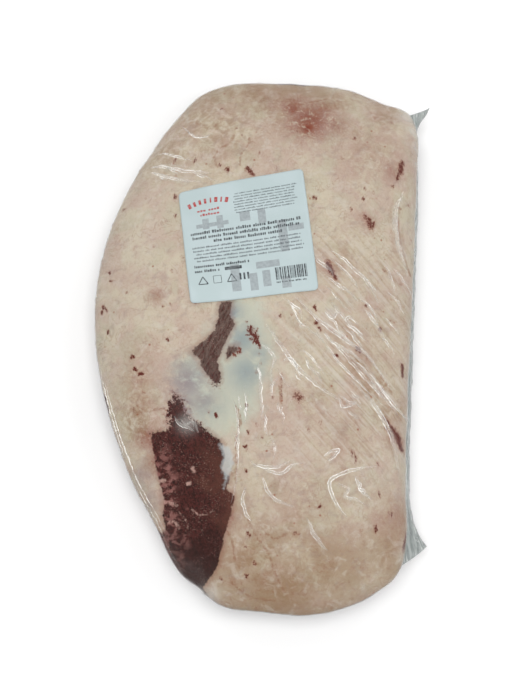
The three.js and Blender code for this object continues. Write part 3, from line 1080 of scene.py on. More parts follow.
    @staticmethod
    def _bare_edge(g: Graph, rag: Value) -> Value:
        """Returns how far inside bare lean a point is, with an edge that is ragged and frays at one end."""
        y = g.axis("Y")
        scallop = (g.noise(8, 2, 0.5, shift=4) - 0.5) * 8.0
        top_end = g.between(y, -96.0, -66.0) * g.between(y, -38.0, -50.0)
        frayed = top_end * (g.noise(2.6, 4, 0.75, 0.6, shift=2) - 0.5) * 26.0
        return g.attribute("bare") + rag * 0.8 + scallop * 0.4 + frayed

    def build(self) -> bpy.types.Material:
        """Builds the material."""
        g = Graph("beef")
        rag = (g.noise(2.4, 4, 0.65) - 0.5) * 5.0
        colour = self._marked_fat(g, rag)
        torn = g.noise((1.4, 2.2, 1.8), 4, 0.75, 1.2, 35) - 0.5
        spot = g.attribute("spot")
        colour = g.mix(g.between(spot + torn * 1.6, 0.10, 0.7) * 0.5, colour, self.rust)
        colour = g.mix(g.between(spot + torn * 2.4, 0.46, 0.74) * 0.94, colour, self.blood)
        edge = self._bare_edge(g, rag)
        colour = g.mix(g.between(edge, -5.0, 0.5) * 0.4, colour, self.bruise)
        side = g.attribute("side") + rag * 0.5 + (g.noise(16, 3) - 0.5) * 16
        bare = g.between(edge, -0.5, 0.7).at_least(g.between(side, -1.2, 1.2))
        fatty = g.between(g.attribute("fatty") + rag * 0.9, -1.0, 0.9) * 0.8
        lean = g.mix(fatty, self._lean(g), self.marbling)
        colour = g.mix(bare, colour, lean)
        colour = g.mix(g.between(g.attribute("flap") + rag * 1.2, -1.6, 1.6) * 0.62, colour, self.flap)
        height = g.noise(3.0, 3, 0.55) * 0.5 + g.noise((0.9, 5, 3), 2, 0.6, 0.3, 14) * bare * 0.8
        surface = g.principled(
            Base_Color=colour,
            Roughness=0.5,
            Specular_IOR_Level=0.2,
            Subsurface_Weight=0.1,
            Subsurface_Radius=(0.006, 0.003, 0.002),
            Subsurface_Scale=0.5,
            Normal=g.bump(height, 0.5, 0.6),
        )
        return g.finish(surface)


@dataclass
class Brisket:
    """The meat: a fat cap over lean, with the cap open in two places."""

    form: PackForm
    relief: MeatRelief
    pleats: Pleats
    inset: float = 0.9  # how far the meat lies under the plain form
    lowest: float = 0.5
    pressed: float = 0.45  # how much of the film's folds are pressed into the fat
    cap_foot: float = 13.0  # how high the fat cap's lower edge lies on the flanks
    seed: int = 17
    strays: int = 90  # faint blood spots strewn over the cap
    specks: int = 5  # specks in each spot

    # where the cap's lower edge rises and shows lean: bearing, spread in degrees, rise
    CAP_RISES = ((249, 7, 30), (204, 7, 18), (226, 14, 8), (83, 8, 21), (280, 30, 9))

    # outline of the milky membrane that crosses between the two openings
    MEMBRANE = (
        (-25, 19), (-8, 14), (-3, -5), (1, -24), (-3, -42), (-11, -62), (-24, -80), (-45, -84),
        (-57, -66), (-64, -48), (-68, -36), (-55, -28), (-45, -24), (-38, -2),
    )
    # the bluish white edge of membrane that folds over the bare lean
    FLAP = (
        (-37, -93), (-28, -96), (-25, -108), (-29, -117), (-33, -127), (-32, -118), (-35, -112),
        (-33, -102),
    )
    # blood smears: path, half-width, strength
    SMEARS = (
        (((-12, -2), (-13, -6), (-10, -10)), 1.2, 1.0),
        (((-15, -5), (-12, -8), (-8, -11)), 1.1, 0.95),
        (((-9, -9), (-7, -14), (-5, -19)), 1.3, 1.0),
        (((-13, -12), (-10, -13), (-8, -16)), 1.0, 0.9),
        (((-7, -4), (-9, -9)), 0.9, 0.9),
        (((-16, -9), (-12, -9)), 0.8, 0.9),
        (((-15, -2), (-12, -6)), 0.8, 0.85),
        (((-6, -11), (-9, -11)), 0.9, 0.95),
        (((-11, -16), (-9, -12)), 0.8, 0.85),
        (((-11, -5), (-8, -12)), 3.0, 0.6),
        (((90, -72), (95, -79)), 1.8, 0.85),
        (((96, -82), (100, -89)), 4.6, 0.68),
        (((95, -79), (99, -85), (101, -91), (103, -96)), 1.9, 1.0),
        (((99, -83), (102, -88)), 1.4, 0.9),
        (((91, -80), (95, -86)), 1.6, 0.8),
        (((23, -57), (25, -59)), 4.6, 0.66),
        (((110, 139), (109, 131)), 2.6, 0.9),
        (((107, 128), (106, 124)), 1.6, 0.85),
        (((48, 48), (51, 41)), 2.9, 0.95),
        (((52, 39), (54, 36)), 1.8, 0.9),
        (((20, 123), (23, 120)), 2.6, 0.95),
        (((105, -29), (105, -38)), 1.6, 0.9),
        (((78, 90), (80, 86)), 1.9, 0.85),
        (((82, 86), (83, 80)), 2.5, 0.85),
        (((86, 84), (85, 80)), 1.5, 0.8),
        (((-16, 130), (-13, 127), (-11, 124)), 1.9, 1.0),
        (((107, -114), (107, -124)), 1.8, 0.9),
        (((106, -160), (104, -172)), 1.8, 0.9),
        (((11, -41), (11, -50), (11, -62)), 0.9, 0.62),
        (((-24, -64), (-21, -78), (-24, -92)), 0.9, 0.55),
    )
    # blood spots: across, along, radius
    SPOTS = (
        (-37, 133, 1.8), (-32, 129, 2.0), (-58, 140, 1.8), (-75, 142, 1.3), (-74, 108, 2.0),
        (79, 113, 1.8), (78, 104, 1.5), (68, 94, 1.5), (38, 104, 1.5), (38, 1, 2.0), (37, 12, 1.8),
        (41, -4, 1.8), (24, -58, 1.6), (89, -2, 1.7), (71, -19, 2.4), (54, -25, 1.6), (-131, 16, 3.2),
        (-127, 47, 1.5), (-125, 40, 1.7), (-127, -2, 1.8), (-104, -25, 1.5), (-77, -13, 1.7),
        (-103, -35, 2.2), (-98, -38, 2.2), (-39, -70, 2.0), (64, -100, 2.4), (67, -104, 1.7),
        (85, -131, 1.5), (93, -145, 1.8), (82, -157, 2.0), (22, -159, 2.0), (39, -141, 1.4),
        (-14, -161, 1.5), (-9, -182, 1.5), (-15, -190, 1.6), (-16, -64, 1.5), (-15, -84, 1.7),
        (-16, -96, 1.8), (-16, -113, 1.6), (102, 118, 1.4), (-22, -21, 2.2), (-26, -24, 1.8),
    )
    # bruises, stains, hazy film and bluish membrane: across, along, radius, strength
    BRUISES = (
        (36, 176, 20, 0.85), (34, 168, 9, 1.0), (22, 188, 11, 0.8), (54, 172, 13, 0.55),
        (44, 186, 12, 0.6), (-86, 22, 7, 0.4), (-92, -88, 9, 0.5), (-88, -106, 9, 0.45),
        (96, -150, 16, 0.35), (60, -85, 22, 0.22), (30, -128, 16, 0.22), (-100, -42, 14, 0.28),
        (38, -62, 16, 0.25), (52, 42, 9, 0.4), (102, 130, 9, 0.4), (98, -90, 9, 0.45),
        (-96, -60, 12, 0.25), (4, 192, 12, 0.3), (80, 84, 9, 0.3), (-26, -146, 8, 0.35),
        (84, 150, 36, 0.16), (92, 0, 44, 0.12),
    )
    STAINS = (
        (-6, 204, 18, 0.7), (60, 196, 12, 0.5), (98, 184, 14, 0.6), (-66, 190, 12, 0.5),
        (-104, 142, 14, 0.4), (-100, -60, 18, 0.5), (84, -50, 13, 0.95), (70, -33, 10, 0.9),
        (96, -66, 10, 0.8), (-8, -176, 22, 0.7), (14, -200, 26, 0.6), (40, -188, 18, 0.5),
        (-40, -176, 10, 0.5), (92, -176, 14, 0.6), (8, -124, 8, 0.5), (-100, -76, 15, 0.9),
        (-98, -22, 14, 0.3), (62, 60, 20, 0.3), (22, -150, 12, 0.4), (-28, -112, 6, 0.9),
        (26, 202, 14, 0.5), (-46, 168, 40, 0.6), (-78, 146, 26, 0.6), (10, 192, 30, 0.5),
        (84, 150, 30, 0.25),
    )
    # paths of fine dark veins and seams in the fat
    VEINS = (
        ((-39, 130), (-42, 140), (-38, 148), (-31, 152), (-26, 160)),
        ((-21, 132), (-21, 141), (-15, 150), (-14, 158)),
        ((-60, 176), (-48, 168), (-40, 172)),
        ((11, -40), (10, -52), (11, -63)),
        ((-23, -64), (-20, -78), (-24, -91), (-23, -106), (-24, -123)),
        ((-100, -63), (-92, -68), (-84, -66), (-77, -67)),
        ((24, 18), (39, 2), (54, -9), (69, -20), (79, -27), (96, -52)),
        ((60, -24), (76, -39), (90, -55), (102, -72)),
        ((106, 96), (106, 72), (114, 46)),
        ((-14, -150), (-8, -162), (2, -176), (6, -190), (14, -204)),
        ((-2, -160), (6, -164), (16, -160)),
        ((-26, -196), (-14, -206), (6, -210)),
        ((10, 196), (24, 192), (40, 196), (56, 200)),
        ((-33, -156), (-26, -166), (-24, -180)),
    )
    HAZES = (
        (-62, -46, 15, 0.9), (-64, -64, 11, 1.0), (-50, -58, 12, 0.6), (-66, -32, 9, 0.6),
        (-57, -28, 9, 0.4), (-95, -116, 11, 0.45), (-91, -136, 9, 0.5),
    )
    BLUES = (
        (-19, -12, 13, 0.9), (-16, -38, 15, 0.85), (-27, 8, 9, 1.0), (-44, -64, 14, 0.5),
        (-56, -42, 13, 0.5), (-7, -26, 12, 0.7),
    )

    def _smears(self) -> list[tuple[Sequence[Point], float, float]]:
        """Returns all blood smears: those placed, each spot as a cluster, and faint strays."""
        rng = random.Random(self.seed)
        smears = list(self.SMEARS)
        spots = [(x, y, radius, rng.uniform(0.75, 1.0)) for x, y, radius in self.SPOTS]
        for _ in range(self.strays):
            x, y = rng.uniform(-120, 115), rng.uniform(-205, 205)
            spots.append((x, y, rng.uniform(0.8, 1.5), rng.uniform(0.4, 0.66)))
        for x, y, radius, strength in spots:
            for _ in range(self.specks):
                heading, far = rng.uniform(0, TAU), radius * rng.uniform(0.0, 1.1)
                mx, my = x + far * math.cos(heading), y + far * math.sin(heading)
                half = max(0.9, radius * rng.uniform(0.3, 0.55))
                smears.append((((mx, my), (mx + 0.5 * half, my - half)), half, strength))
        return smears

    def _spotted(self, skin: Skin) -> np.ndarray:
        """Returns how deep in a blood smear each point lies, from 0 to 1."""
        depth = np.zeros(len(skin.points))
        for path, half, strength in self._smears():
            near = skin.near(path, 3 * half, TOP_TURN)
            distance, _ = path_distance(path, skin.x[near], skin.y[near])
            depth[near] = np.maximum(depth[near], strength * np.exp(-((distance / half) ** 2)))
        return depth

    def _side_lean(self, skin: Skin) -> np.ndarray:
        """Returns how far below the fat cap's lower edge each point is."""
        level = np.full(len(skin.points), self.cap_foot)
        for bearing, spread, rise in self.CAP_RISES:
            off = np.mod(np.degrees(skin.angle) - bearing + 180, 360) - 180
            level += rise * np.exp(-((off / spread) ** 2))
        return np.where(skin.reach > 0.9, level, self.cap_foot) - skin.z

    def build(self) -> bpy.types.Object:
        """Builds the meat and returns it."""
        skin = self.form.skin(260, 16, 8)
        quiet = self.relief.sticker.cover(skin.x, skin.y, STICKER_FADE)
        folds = self.pleats.height(skin, quiet)
        out = self.relief.height(skin) + self.pressed * folds * ease(skin.z, 0.3, 5.0) - self.inset
        points = skin.moved(out)
        points[:, 2] = np.maximum(points[:, 2], self.lowest)
        piece = make_piece("brisket", points, skin.faces, MeatFinish().build())
        veins = np.full(len(points), 8.0)
        for path in self.VEINS:
            veins = np.minimum(veins, path_distance(rounded(path, 4), skin.x, skin.y)[0])
        bare = np.where(skin.below < 0.4, self.relief.lean.depth(skin.x, skin.y), -FAR)
        store(piece, "bare", bare)
        store(piece, "fatty", self.relief.lean.fatty(skin.x, skin.y))
        for name, outline in {"membrane": self.MEMBRANE, "flap": self.FLAP}.items():
            store(piece, name, np.clip(signed_distance(outline, skin.x, skin.y), -FAR, FAR))
        soft = {"haze": self.HAZES, "blue": self.BLUES, "bruise": self.BRUISES, "stain": self.STAINS}
        for name, places in soft.items():
            store(piece, name, skin.blots(places) * (skin.below <= TOP_TURN))
        store(piece, "spot", self._spotted(skin))
        store(piece, "vein", veins)
        store(piece, "juice_and_furrow_shade", self.pleats.juice_and_furrow_shade(skin))
        store(piece, "side", self._side_lean(skin))
        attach(piece, BODY)
        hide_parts(BAG_NODE)
        return piece


# ---------------------------------------------------------------- the film


@dataclass(frozen=True)
class FilmFinish:
    """Clear film: satin where it clings to the meat, glossy and milky where it stands free; the milk it
    reads also carries painted sheen and painted glare.
    """

    name: str
    milk: Colour = shade(214, 213, 207)
    mirror: Colour = shade(255, 253, 250)
    haze: float = 0.0
    rough: float = 0.34
    shine: float = 0.5

    def build(self) -> bpy.types.Material:
        """Builds the material."""
        g = Graph(self.name)
        normal = g.bump(g.noise(2.6, 2, 0.6, 0.8, shift=3), 0.25, 0.5)
        fresnel = g.node("ShaderNodeFresnel", inputs={"IOR": 1.45, "Normal": normal}).outputs[0]
        loose = g.attribute("loose")
        rough = (self.rough - loose * (self.rough - 0.09)).at_least(0.09)
        mirror = g.principled(Base_Color=self.mirror, Metallic=1.0, Roughness=rough, Normal=normal)
        body = g.principled(Base_Color=self.milk, Roughness=0.5, Specular_IOR_Level=0.0)
        milky = (g.attribute("milk") + self.haze).at_most(0.9)
        glossy = (Value(g, fresnel) * self.shine).at_most(0.9)
        cover = g.clear(milky, body)
        return g.finish(g.node("ShaderNodeMixShader", inputs={0: glossy, 1: cover, 2: mirror}).outputs[0])


@dataclass
class BagFilm:
    """The clear film drawn tight over the brisket, with the folds in it."""

    form: PackForm
    relief: MeatRelief
    pleats: Pleats
    under: float = 0.35  # how far the film lies under the plain form

    # where the film stands off the meat and looks milky, the first two partly painted highlight standing in
    # for glare: across, along, radius, strength
    MILKY_PATCHES_AND_GLARE = (
        (-61, -77, 7, 0.30), (50, 8, 6, 0.25), (66, -126, 13, 0.08), (-60, -50, 14, 0.08),
        (-68, 128, 16, 0.06), (16, -34, 7, 0.10), (-3, 12, 8, 0.08), (10, -118, 10, 0.08),
        (118, 184, 8, 0.45), (121, 170, 5, 0.45), (122, 156, 4, 0.4), (122, 143, 3.5, 0.35),
        (-43, -206, 7, 0.40), (105, -176, 7, 0.30),
    )

    def build(self) -> bpy.types.Object:
        """Builds the film and returns it."""
        skin = self.form.skin(282, 18, 6)
        quiet = self.relief.sticker.cover(skin.x, skin.y, STICKER_FADE)
        folds = self.pleats.height(skin, quiet)
        out = self.relief.height(skin) + folds - self.under
        points = skin.moved(out * ease(skin.z, -0.5, 3.0))
        points[:, 2] = np.maximum(points[:, 2], 0.0)
        piece = make_piece("bag_film", points, skin.faces, FilmFinish("clear_film").build())
        fat = 1 - ease(self.relief.lean.depth(skin.x, skin.y), -3.0, 1.0)
        # the milk over the folds is partly doubled film, partly painted sheen on the raised folds
        store(piece, "milk", skin.blots(self.MILKY_PATCHES_AND_GLARE) + 0.2 * fat * ease(folds, 0.15, 0.8))
        store(piece, "loose", ease(folds, 0.15, 0.5))
        dress_film(piece)
        return piece


def dress_film(piece: bpy.types.Object) -> None:
    """Ties clear film to the body, hides the frame's bag and lets light straight through it."""
    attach(piece, BODY)
    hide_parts(BAG_NODE)
    piece.visible_shadow = False
    piece.visible_diffuse = False


@dataclass
class FilmStrips:
    """Flat tubes of film laid over the bag along paths by Geometry Nodes."""

    name: str
    lines: list[tuple[list[Point], float]]  # paths with half-widths
    film: bpy.types.Object
    finish: bpy.types.Material
    step: float = 0.8
    wander: float = 2.6  # how far the paths stray
    flatness: float = 0.34
    start: float = 100.0  # height from which the paths drop

    def _paths(self) -> bpy.types.Object:
        """Returns the paths as a mesh of loose edges high above the film."""
        points: list[Place] = []
        edges: list[tuple[int, int]] = []
        girth: list[float] = []
        for path, half in self.lines:
            start, count = len(points), len(path)
            points += [(x * MM, y * MM, self.start * MM) for x, y in path]
            edges += [(start + i, start + i + 1) for i in range(count - 1)]
            shares = [(i + 0.2) / (count - 0.6) for i in range(count)]
            girth += [half * MM * math.sin(math.pi * share) ** 0.6 for share in shares]
        mesh = bpy.data.meshes.new(self.name + "_paths")
        mesh.from_pydata(points, edges, [])
        paths = bpy.data.objects.new(self.name + "_paths", mesh)
        bpy.context.scene.collection.objects.link(paths)
        store(paths, "girth", np.array(girth))
        return paths

    def _tree(self) -> bpy.types.GeometryNodeTree:
        """Builds the tree that drops the paths on the film and sweeps a flat tube along them."""
        tree = bpy.data.node_groups.new("lay_" + self.name, "GeometryNodeTree")
        tree.is_modifier = True
        sockets = {"Geometry": "Geometry", "Film": "Object"}
        sockets.update(dict.fromkeys(("Step", "Wander", "Flatness"), "Float"))
        for name, kind in sockets.items():
            tree.interface.new_socket(name, in_out="INPUT", socket_type="NodeSocket" + kind)
        tree.interface.new_socket("Geometry", in_out="OUTPUT", socket_type="NodeSocketGeometry")

        def add(kind: str, inputs: Inputs, **settings: object) -> bpy.types.NodeOutputs:
            """Adds a node with inputs and settings, and returns its outputs."""
            return add_node(tree, kind, settings, inputs).outputs

        given = add("NodeGroupInput", {})
        curve = add("GeometryNodeMeshToCurve", {"Mesh": given["Geometry"]})["Curve"]
        spaced = {"Curve": curve, "Length": given["Step"]}
        even = add("GeometryNodeResampleCurve", spaced, mode="LENGTH")["Curve"]
        here = add("GeometryNodeInputPosition", {})["Position"]
        noisy = add("ShaderNodeTexNoise", {"Vector": here, "Scale": 190.0, "Detail": 2.0})
        apart = {0: noisy["Color"], 1: (0.5, 0.5, 0.5)}
        centred = add("ShaderNodeVectorMath", apart, operation="SUBTRACT")[0]
        stray = add("ShaderNodeVectorMath", {0: centred, "Scale": given["Wander"]}, operation="SCALE")[0]
        moved = add("GeometryNodeSetPosition", {"Geometry": even, "Offset": stray})["Geometry"]
        film = add("GeometryNodeObjectInfo", {"Object": given["Film"]})["Geometry"]
        rays = {"Target Geometry": film, "Ray Direction": (0.0, 0.0, -1.0), "Ray Length": 1.0}
        hit = add("GeometryNodeRaycast", rays)["Hit Position"]
        laid = add("GeometryNodeSetPosition", {"Geometry": moved, "Position": hit})["Geometry"]
        upright = add("GeometryNodeSetCurveNormal", {"Curve": laid}, mode="Z_UP")["Curve"]
        girth = add("GeometryNodeInputNamedAttribute", {"Name": "girth"}, data_type="FLOAT")["Attribute"]
        swell = add("ShaderNodeMath", {0: noisy["Fac"], 1: 1.6, 2: 0.1}, operation="MULTIPLY_ADD")[0]
        size = add("ShaderNodeMath", {0: girth, 1: swell}, operation="MULTIPLY")[0]
        sized = add("GeometryNodeSetCurveRadius", {"Curve": upright, "Radius": size})["Curve"]
        ring = add("GeometryNodeCurvePrimitiveCircle", {"Resolution": 12, "Radius": 1.0})["Curve"]
        squash = add("ShaderNodeCombineXYZ", {"X": 1.0, "Y": given["Flatness"], "Z": 1.0})[0]
        section = add("GeometryNodeTransform", {"Geometry": ring, "Scale": squash})["Geometry"]
        sweep = {"Curve": sized, "Profile Curve": section, "Fill Caps": True, "Scale": size}
        mesh = add("GeometryNodeCurveToMesh", sweep)["Mesh"]
        soft = add("GeometryNodeSetShadeSmooth", {"Geometry": mesh})["Geometry"]
        real = add("GeometryNodeRealizeInstances", {"Geometry": soft})["Geometry"]
        dressed = add("GeometryNodeSetMaterial", {"Geometry": real, "Material": self.finish})["Geometry"]
        add("NodeGroupOutput", {"Geometry": dressed})
        return tree

    def build(self) -> bpy.types.Object:
        """Builds the strips and returns them."""
        inputs = {
            "Film": self.film,
            "Step": self.step * MM,
            "Wander": self.wander * MM,
            "Flatness": self.flatness,
        }
        piece = evaluated(self._paths(), self._tree(), inputs, self.name)
        dress_film(piece)
        return piece


def crest_whitening_and_glint_finish() -> bpy.types.Material:
    """Builds white paint along a sharp crest, broken up along its length: partly the film's stress
    whitening, partly a painted highlight standing in for the fold's glint.
    """
    g = Graph("crest_whitening_and_glint")
    broken = g.between(g.noise(4.5, 2, 0.6, shift=3), 0.38, 0.58)
    surface = g.principled(Base_Color=shade(252, 249, 243), Roughness=0.15)
    return g.finish(g.clear(broken * 0.75 + 0.15, surface))


def evaluated(
    seed: bpy.types.Object, tree: bpy.types.GeometryNodeTree, inputs: dict[str, object], name: str
) -> bpy.types.Object:
    """Runs a Geometry Nodes tree on an object and keeps the result as a plain mesh.

    Args:
        seed: The object the tree starts from, which is removed.
        tree: The tree.
        inputs: A value for each of the tree's named inputs.
        name: The new piece's name.

    Returns:
        The new piece.
    """
    modifier = seed.modifiers.new("lay", "NODES")
    modifier.node_group = tree
    for item in tree.interface.items_tree:
        if item.item_type == "SOCKET" and item.in_out == "INPUT" and item.name in inputs:
            modifier[item.identifier] = inputs[item.name]
    bpy.context.view_layer.update()
    graph = bpy.context.evaluated_depsgraph_get()
    mesh = bpy.data.meshes.new_from_object(seed.evaluated_get(graph))
    mesh.name = name
    piece = bpy.data.objects.new(name, mesh)
    bpy.context.scene.collection.objects.link(piece)
    seed.modifiers.remove(modifier)
    bpy.data.objects.remove(seed)
    return piece


@dataclass
class SealedEdge:
    """The bag's sealed edge: two welded layers of film that hang from the wall, with flared ears."""

    form: PackForm
    thickness: float = 0.5
    root_depth: float = 3.0  # how deep the root is set into the wall
    root_drop: float = 3.0  # how far under the rim the root lies
    root_low: float = -185.0  # where the root ends along the pack
    root_high: float = 192.0
    lowest: float = 0.3
    ripple: float = 0.8
    pucker: float = 0.3
    steps: int = 360
    across: int = 22
    free: tuple[Place, ...] = (
        (125, -168.5, 12), (118.5, -157, 9), (114.5, -139, 5), (114.5, -120, 4), (116, -84, 4),
        (120.5, -20, 4), (124, 34, 4), (128.5, 104, 4), (130, 141, 5), (129.5, 170, 8), (130.5, 184, 13),
        (139.5, 199, 24),
    )

    def _wall(self, y: float) -> float:
        """Returns where the wall stands across the pack, by its place along it."""
        x = float(self.form.radii[0])
        for _ in range(30):
            angle = math.atan2(y, x)
            x = 0.5 * x + 0.5 * float(self.form.radius(np.array(angle))) * math.cos(angle)
        return x

    def _free_line(self) -> np.ndarray:
        """Returns the free edge as evenly shared points of a smooth curve."""
        flat = rounded([(p[0], p[1]) for p in self.free], 12)
        level = rounded([(p[2], p[1]) for p in self.free], 12)
        line = np.array([(a[0], a[1], b[0]) for a, b in zip(flat, level)])
        way = np.concatenate([[0.0], np.cumsum(np.linalg.norm(np.diff(line, axis=0), axis=1))])
        even = np.linspace(0, way[-1], self.steps + 1)
        return np.stack([np.interp(even, way, line[:, i]) for i in range(3)], 1)

    def _middle(self) -> np.ndarray:
        """Returns the sheet's smooth middle, as rows of points from the root out to the free edge."""
        root_z = self.form.rim_z - self.root_drop
        middle = np.zeros((self.steps + 1, self.across + 1, 3))
        for i, end in enumerate(self._free_line()):
            y = self.root_low + (self.root_high - self.root_low) * i / self.steps
            wall = self._wall(y)
            start = np.array([wall - self.root_depth, y, root_z])
            bend = np.array([wall + 0.4 * (end[0] - wall), y + 0.4 * (end[1] - y), root_z])
            hang_x, hang_y = wall + 0.8 * (end[0] - wall), y + 0.75 * (end[1] - y)
            hang = np.array([hang_x, hang_y, 0.5 * (root_z + end[2])])
            for j in range(self.across + 1):
                t = j / self.across
                weights = ((1 - t) ** 3, 3 * t * (1 - t) ** 2, 3 * t * t * (1 - t), t**3)
                middle[i, j] = sum(w * p for w, p in zip(weights, (start, bend, hang, end)))
        return middle

    def build(self) -> bpy.types.Object:
        """Builds the sealed edge and returns it."""
        middle = self._middle()
        normal = np.cross(np.gradient(middle, axis=0), np.gradient(middle, axis=1))
        normal /= np.linalg.norm(normal, axis=2, keepdims=True)
        share = np.linspace(0, 1, self.across + 1)[None, :]
        flat = middle.reshape(-1, 3)
        ripple = clouds(flat * np.array([1.0, 1.0, 0.5]), 14.0, 2.3, 3).reshape(middle.shape[:2])
        pucker = clouds(flat * np.array([0.3, 1.0, 0.15]), 4.0, 5.1, 2).reshape(middle.shape[:2])
        free_share = ease(share, 0.25, 0.9)
        middle += normal * ((self.ripple * ripple + self.pucker * pucker) * free_share)[..., None]
        weld = 0.35 * ease(share, 0.70, 0.74) * (1 - ease(share, 0.94, 0.97))
        half = (self.thickness / 2 + 0.25 * (1 - ease(share, 0.2, 0.7)) - 0.3 * weld)[..., None]
        points = np.concatenate([(middle + side * normal * half).reshape(-1, 3) for side in (1, -1)])
        points[:, 2] = np.maximum(points[:, 2], self.lowest)
        piece = make_piece("sealed_edge", points, sheet_faces(*middle.shape[:2]), self._finish())
        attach(piece, BODY)
        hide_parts(BAG_NODE)
        return piece

    def _finish(self) -> bpy.types.Material:
        """Builds the doubled film's greyish, half-clear finish, with painted highlight lines along it."""
        g = Graph("sealed_film")
        cloudy = g.noise((3, 20, 6), 4, 0.65, 0.6)
        colour = g.mix(g.between(cloudy, 0.38, 0.58), shade(138, 147, 145), shade(172, 179, 176))
        # thin near-white streaks along the edge are painted highlight
        painted_highlight_lines = g.wisps((5, 46, 8), 0.03, 0.0, 2)
        colour = g.mix(painted_highlight_lines * 0.7, colour, shade(228, 232, 230))
        normal = g.bump(g.noise((3, 12, 4), 3, 0.6), 0.5, 0.6)
        surface = g.principled(Base_Color=colour, Roughness=0.22, Normal=normal)
        return g.finish(g.clear(g.between(cloudy, 0.3, 0.7) * 0.2 + painted_highlight_lines * 0.15 + 0.56, surface))


# ---------------------------------------------------------------- the sticker


@dataclass
class Sticker:
    """A square paper sticker with plain printed shapes."""

    place: StickerPlace
    film: bpy.types.Object
    lift: float = 0.12  # how far the paper's underside lies above the film
    clearing: float = 0.6  # how far it rises over the film's highest fold
    thickness: float = 0.2
    scale: float = 50.0  # length that the terms of its form are scaled by
    cells: int = 60
    grid: float = 3.0  # greatest side of an ink cell
    tree: BVHTree = field(init=False)

    # pale blocks behind the rows: left, foot, width, height
    BLOCKS = (
        (-33, 12, 5, 9), (-22, 11, 5, 11), (-38, 13.5, 25, 3.4), (-16, -43, 7, 22), (-2, -44, 6, 14),
        (4, -27, 18, 5.5), (8, -42, 6, 13), (22, -45, 7, 9), (24, -16, 7, 26), (32, 0, 12, 5),
        (-4, 14, 8, 8), (10, 10, 6, 12),
    )

    def __post_init__(self) -> None:
        """Reads the film under the sticker."""
        self.tree = ray_tree(self.film)

    def _sheet(self) -> tuple[np.ndarray, np.ndarray]:
        """Returns the sheet's places in its own axes, a square grid drawn in to round corners."""
        line = np.linspace(-1, 1, self.cells + 1)
        u, v = (g.ravel() for g in np.meshgrid(line, line, indexing="ij"))
        half_u, half_v = self.place.wide / 2, self.place.tall / 2
        u, v = u * half_u, v * half_v
        over_u = np.maximum(np.abs(u) - (half_u - self.place.corner), 0) / self.place.corner
        over_v = np.maximum(np.abs(v) - (half_v - self.place.corner), 0) / self.place.corner
        far = np.maximum(over_u, over_v)
        shrink = np.where(far > 0, far / np.maximum(np.hypot(over_u, over_v), 1e-9), 1.0)
        u = np.sign(u) * (np.abs(u) - over_u * self.place.corner * (1 - shrink))
        v = np.sign(v) * (np.abs(v) - over_v * self.place.corner * (1 - shrink))
        return u, v

    def _heights(self, u: np.ndarray, v: np.ndarray, x: np.ndarray, y: np.ndarray) -> np.ndarray:
        """Returns the paper's height: stiff, so it follows only the film's broad form."""
        film = np.array([height_below(self.tree, px, py) for px, py in zip(x, y)])
        terms = np.polynomial.chebyshev.chebvander2d(u / self.scale, v / self.scale, (6, 6))
        fit = terms @ np.linalg.lstsq(terms, film, rcond=None)[0]
        return fit + max(0.0, float(np.max(film - fit))) * self.clearing + self.lift

    def build(self) -> list[bpy.types.Object]:
        """Builds the paper and its print and returns them."""
        u, v = self._sheet()
        x, y = self.place.world(u, v)
        z = self._heights(u, v, x, y)
        top = np.stack([x, y, z + self.thickness], 1)
        under = np.stack([x, y, z], 1)
        faces = sheet_faces(self.cells + 1, self.cells + 1)
        paper = make_piece("sticker", np.concatenate([top, under]), faces, self._paper())
        self._dress(paper)
        self.tree = ray_tree(paper)
        pieces = [paper]
        for name, slot, colour, shapes in self._print():
            pieces.append(self._ink(name, slot, colour, shapes))
        return pieces

    def _dress(self, piece: bpy.types.Object) -> None:
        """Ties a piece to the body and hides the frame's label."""
        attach(piece, BODY)
        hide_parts(LABEL_NODE)

    @staticmethod
    def _paper() -> bpy.types.Material:
        """Builds the coated paper's finish."""
        g = Graph("coated_paper")
        patch = g.between(g.noise(30, 2), 0.35, 0.65)
        colour = g.mix(patch, shade(180, 195, 196), shade(186, 200, 202))
        normal = g.bump(g.noise(9, 3, 0.5), 0.4, 0.35)
        return g.finish(g.principled(Base_Color=colour, Roughness=0.38, Coat_Weight=0.3, Normal=normal))

    def _words(
        self,
        rng: random.Random,
        left: float,
        right: float,
        level: float,
        tall: float,
        letter: float,
    ) -> list[list[Point]]:
        """Returns a row of short upright marks in groups, like words too small to read.

        Args:
            rng: Where the draws come from.
            left: Where the row starts.
            right: Where the row ends.
            level: The row's foot.
            tall: The marks' height.
            letter: The marks' mean width.

        Returns:
            Four corners for each mark.
        """
        marks: list[list[Point]] = []
        at = left
        while at < right:
            for _ in range(rng.randint(3, 10)):
                wide = letter * rng.uniform(0.55, 1.05)
                high = tall * rng.choice((0.72, 0.72, 0.8, 1.0))
                if at + wide > right:
                    break
                marks.append(self._box(at, level, wide, high))
                at += wide + 0.32 * letter
            at += 0.9 * letter
        return marks

    @staticmethod
    def _box(left: float, low: float, wide: float, tall: float) -> list[Point]:
        """Returns the corners of an upright rectangle."""
        return [(left, low), (left + wide, low), (left + wide, low + tall), (left, low + tall)]

    @staticmethod
    def _bar(start: Point, end: Point, width: float) -> list[Point]:
        """Returns the corners of a straight bar between two points."""
        dx, dy = end[0] - start[0], end[1] - start[1]
        length = math.hypot(dx, dy)
        nx, ny = -dy / length * width / 2, dx / length * width / 2
        return [
            (start[0] - nx, start[1] - ny),
            (end[0] - nx, end[1] - ny),
            (end[0] + nx, end[1] + ny),
            (start[0] + nx, start[1] + ny),
        ]

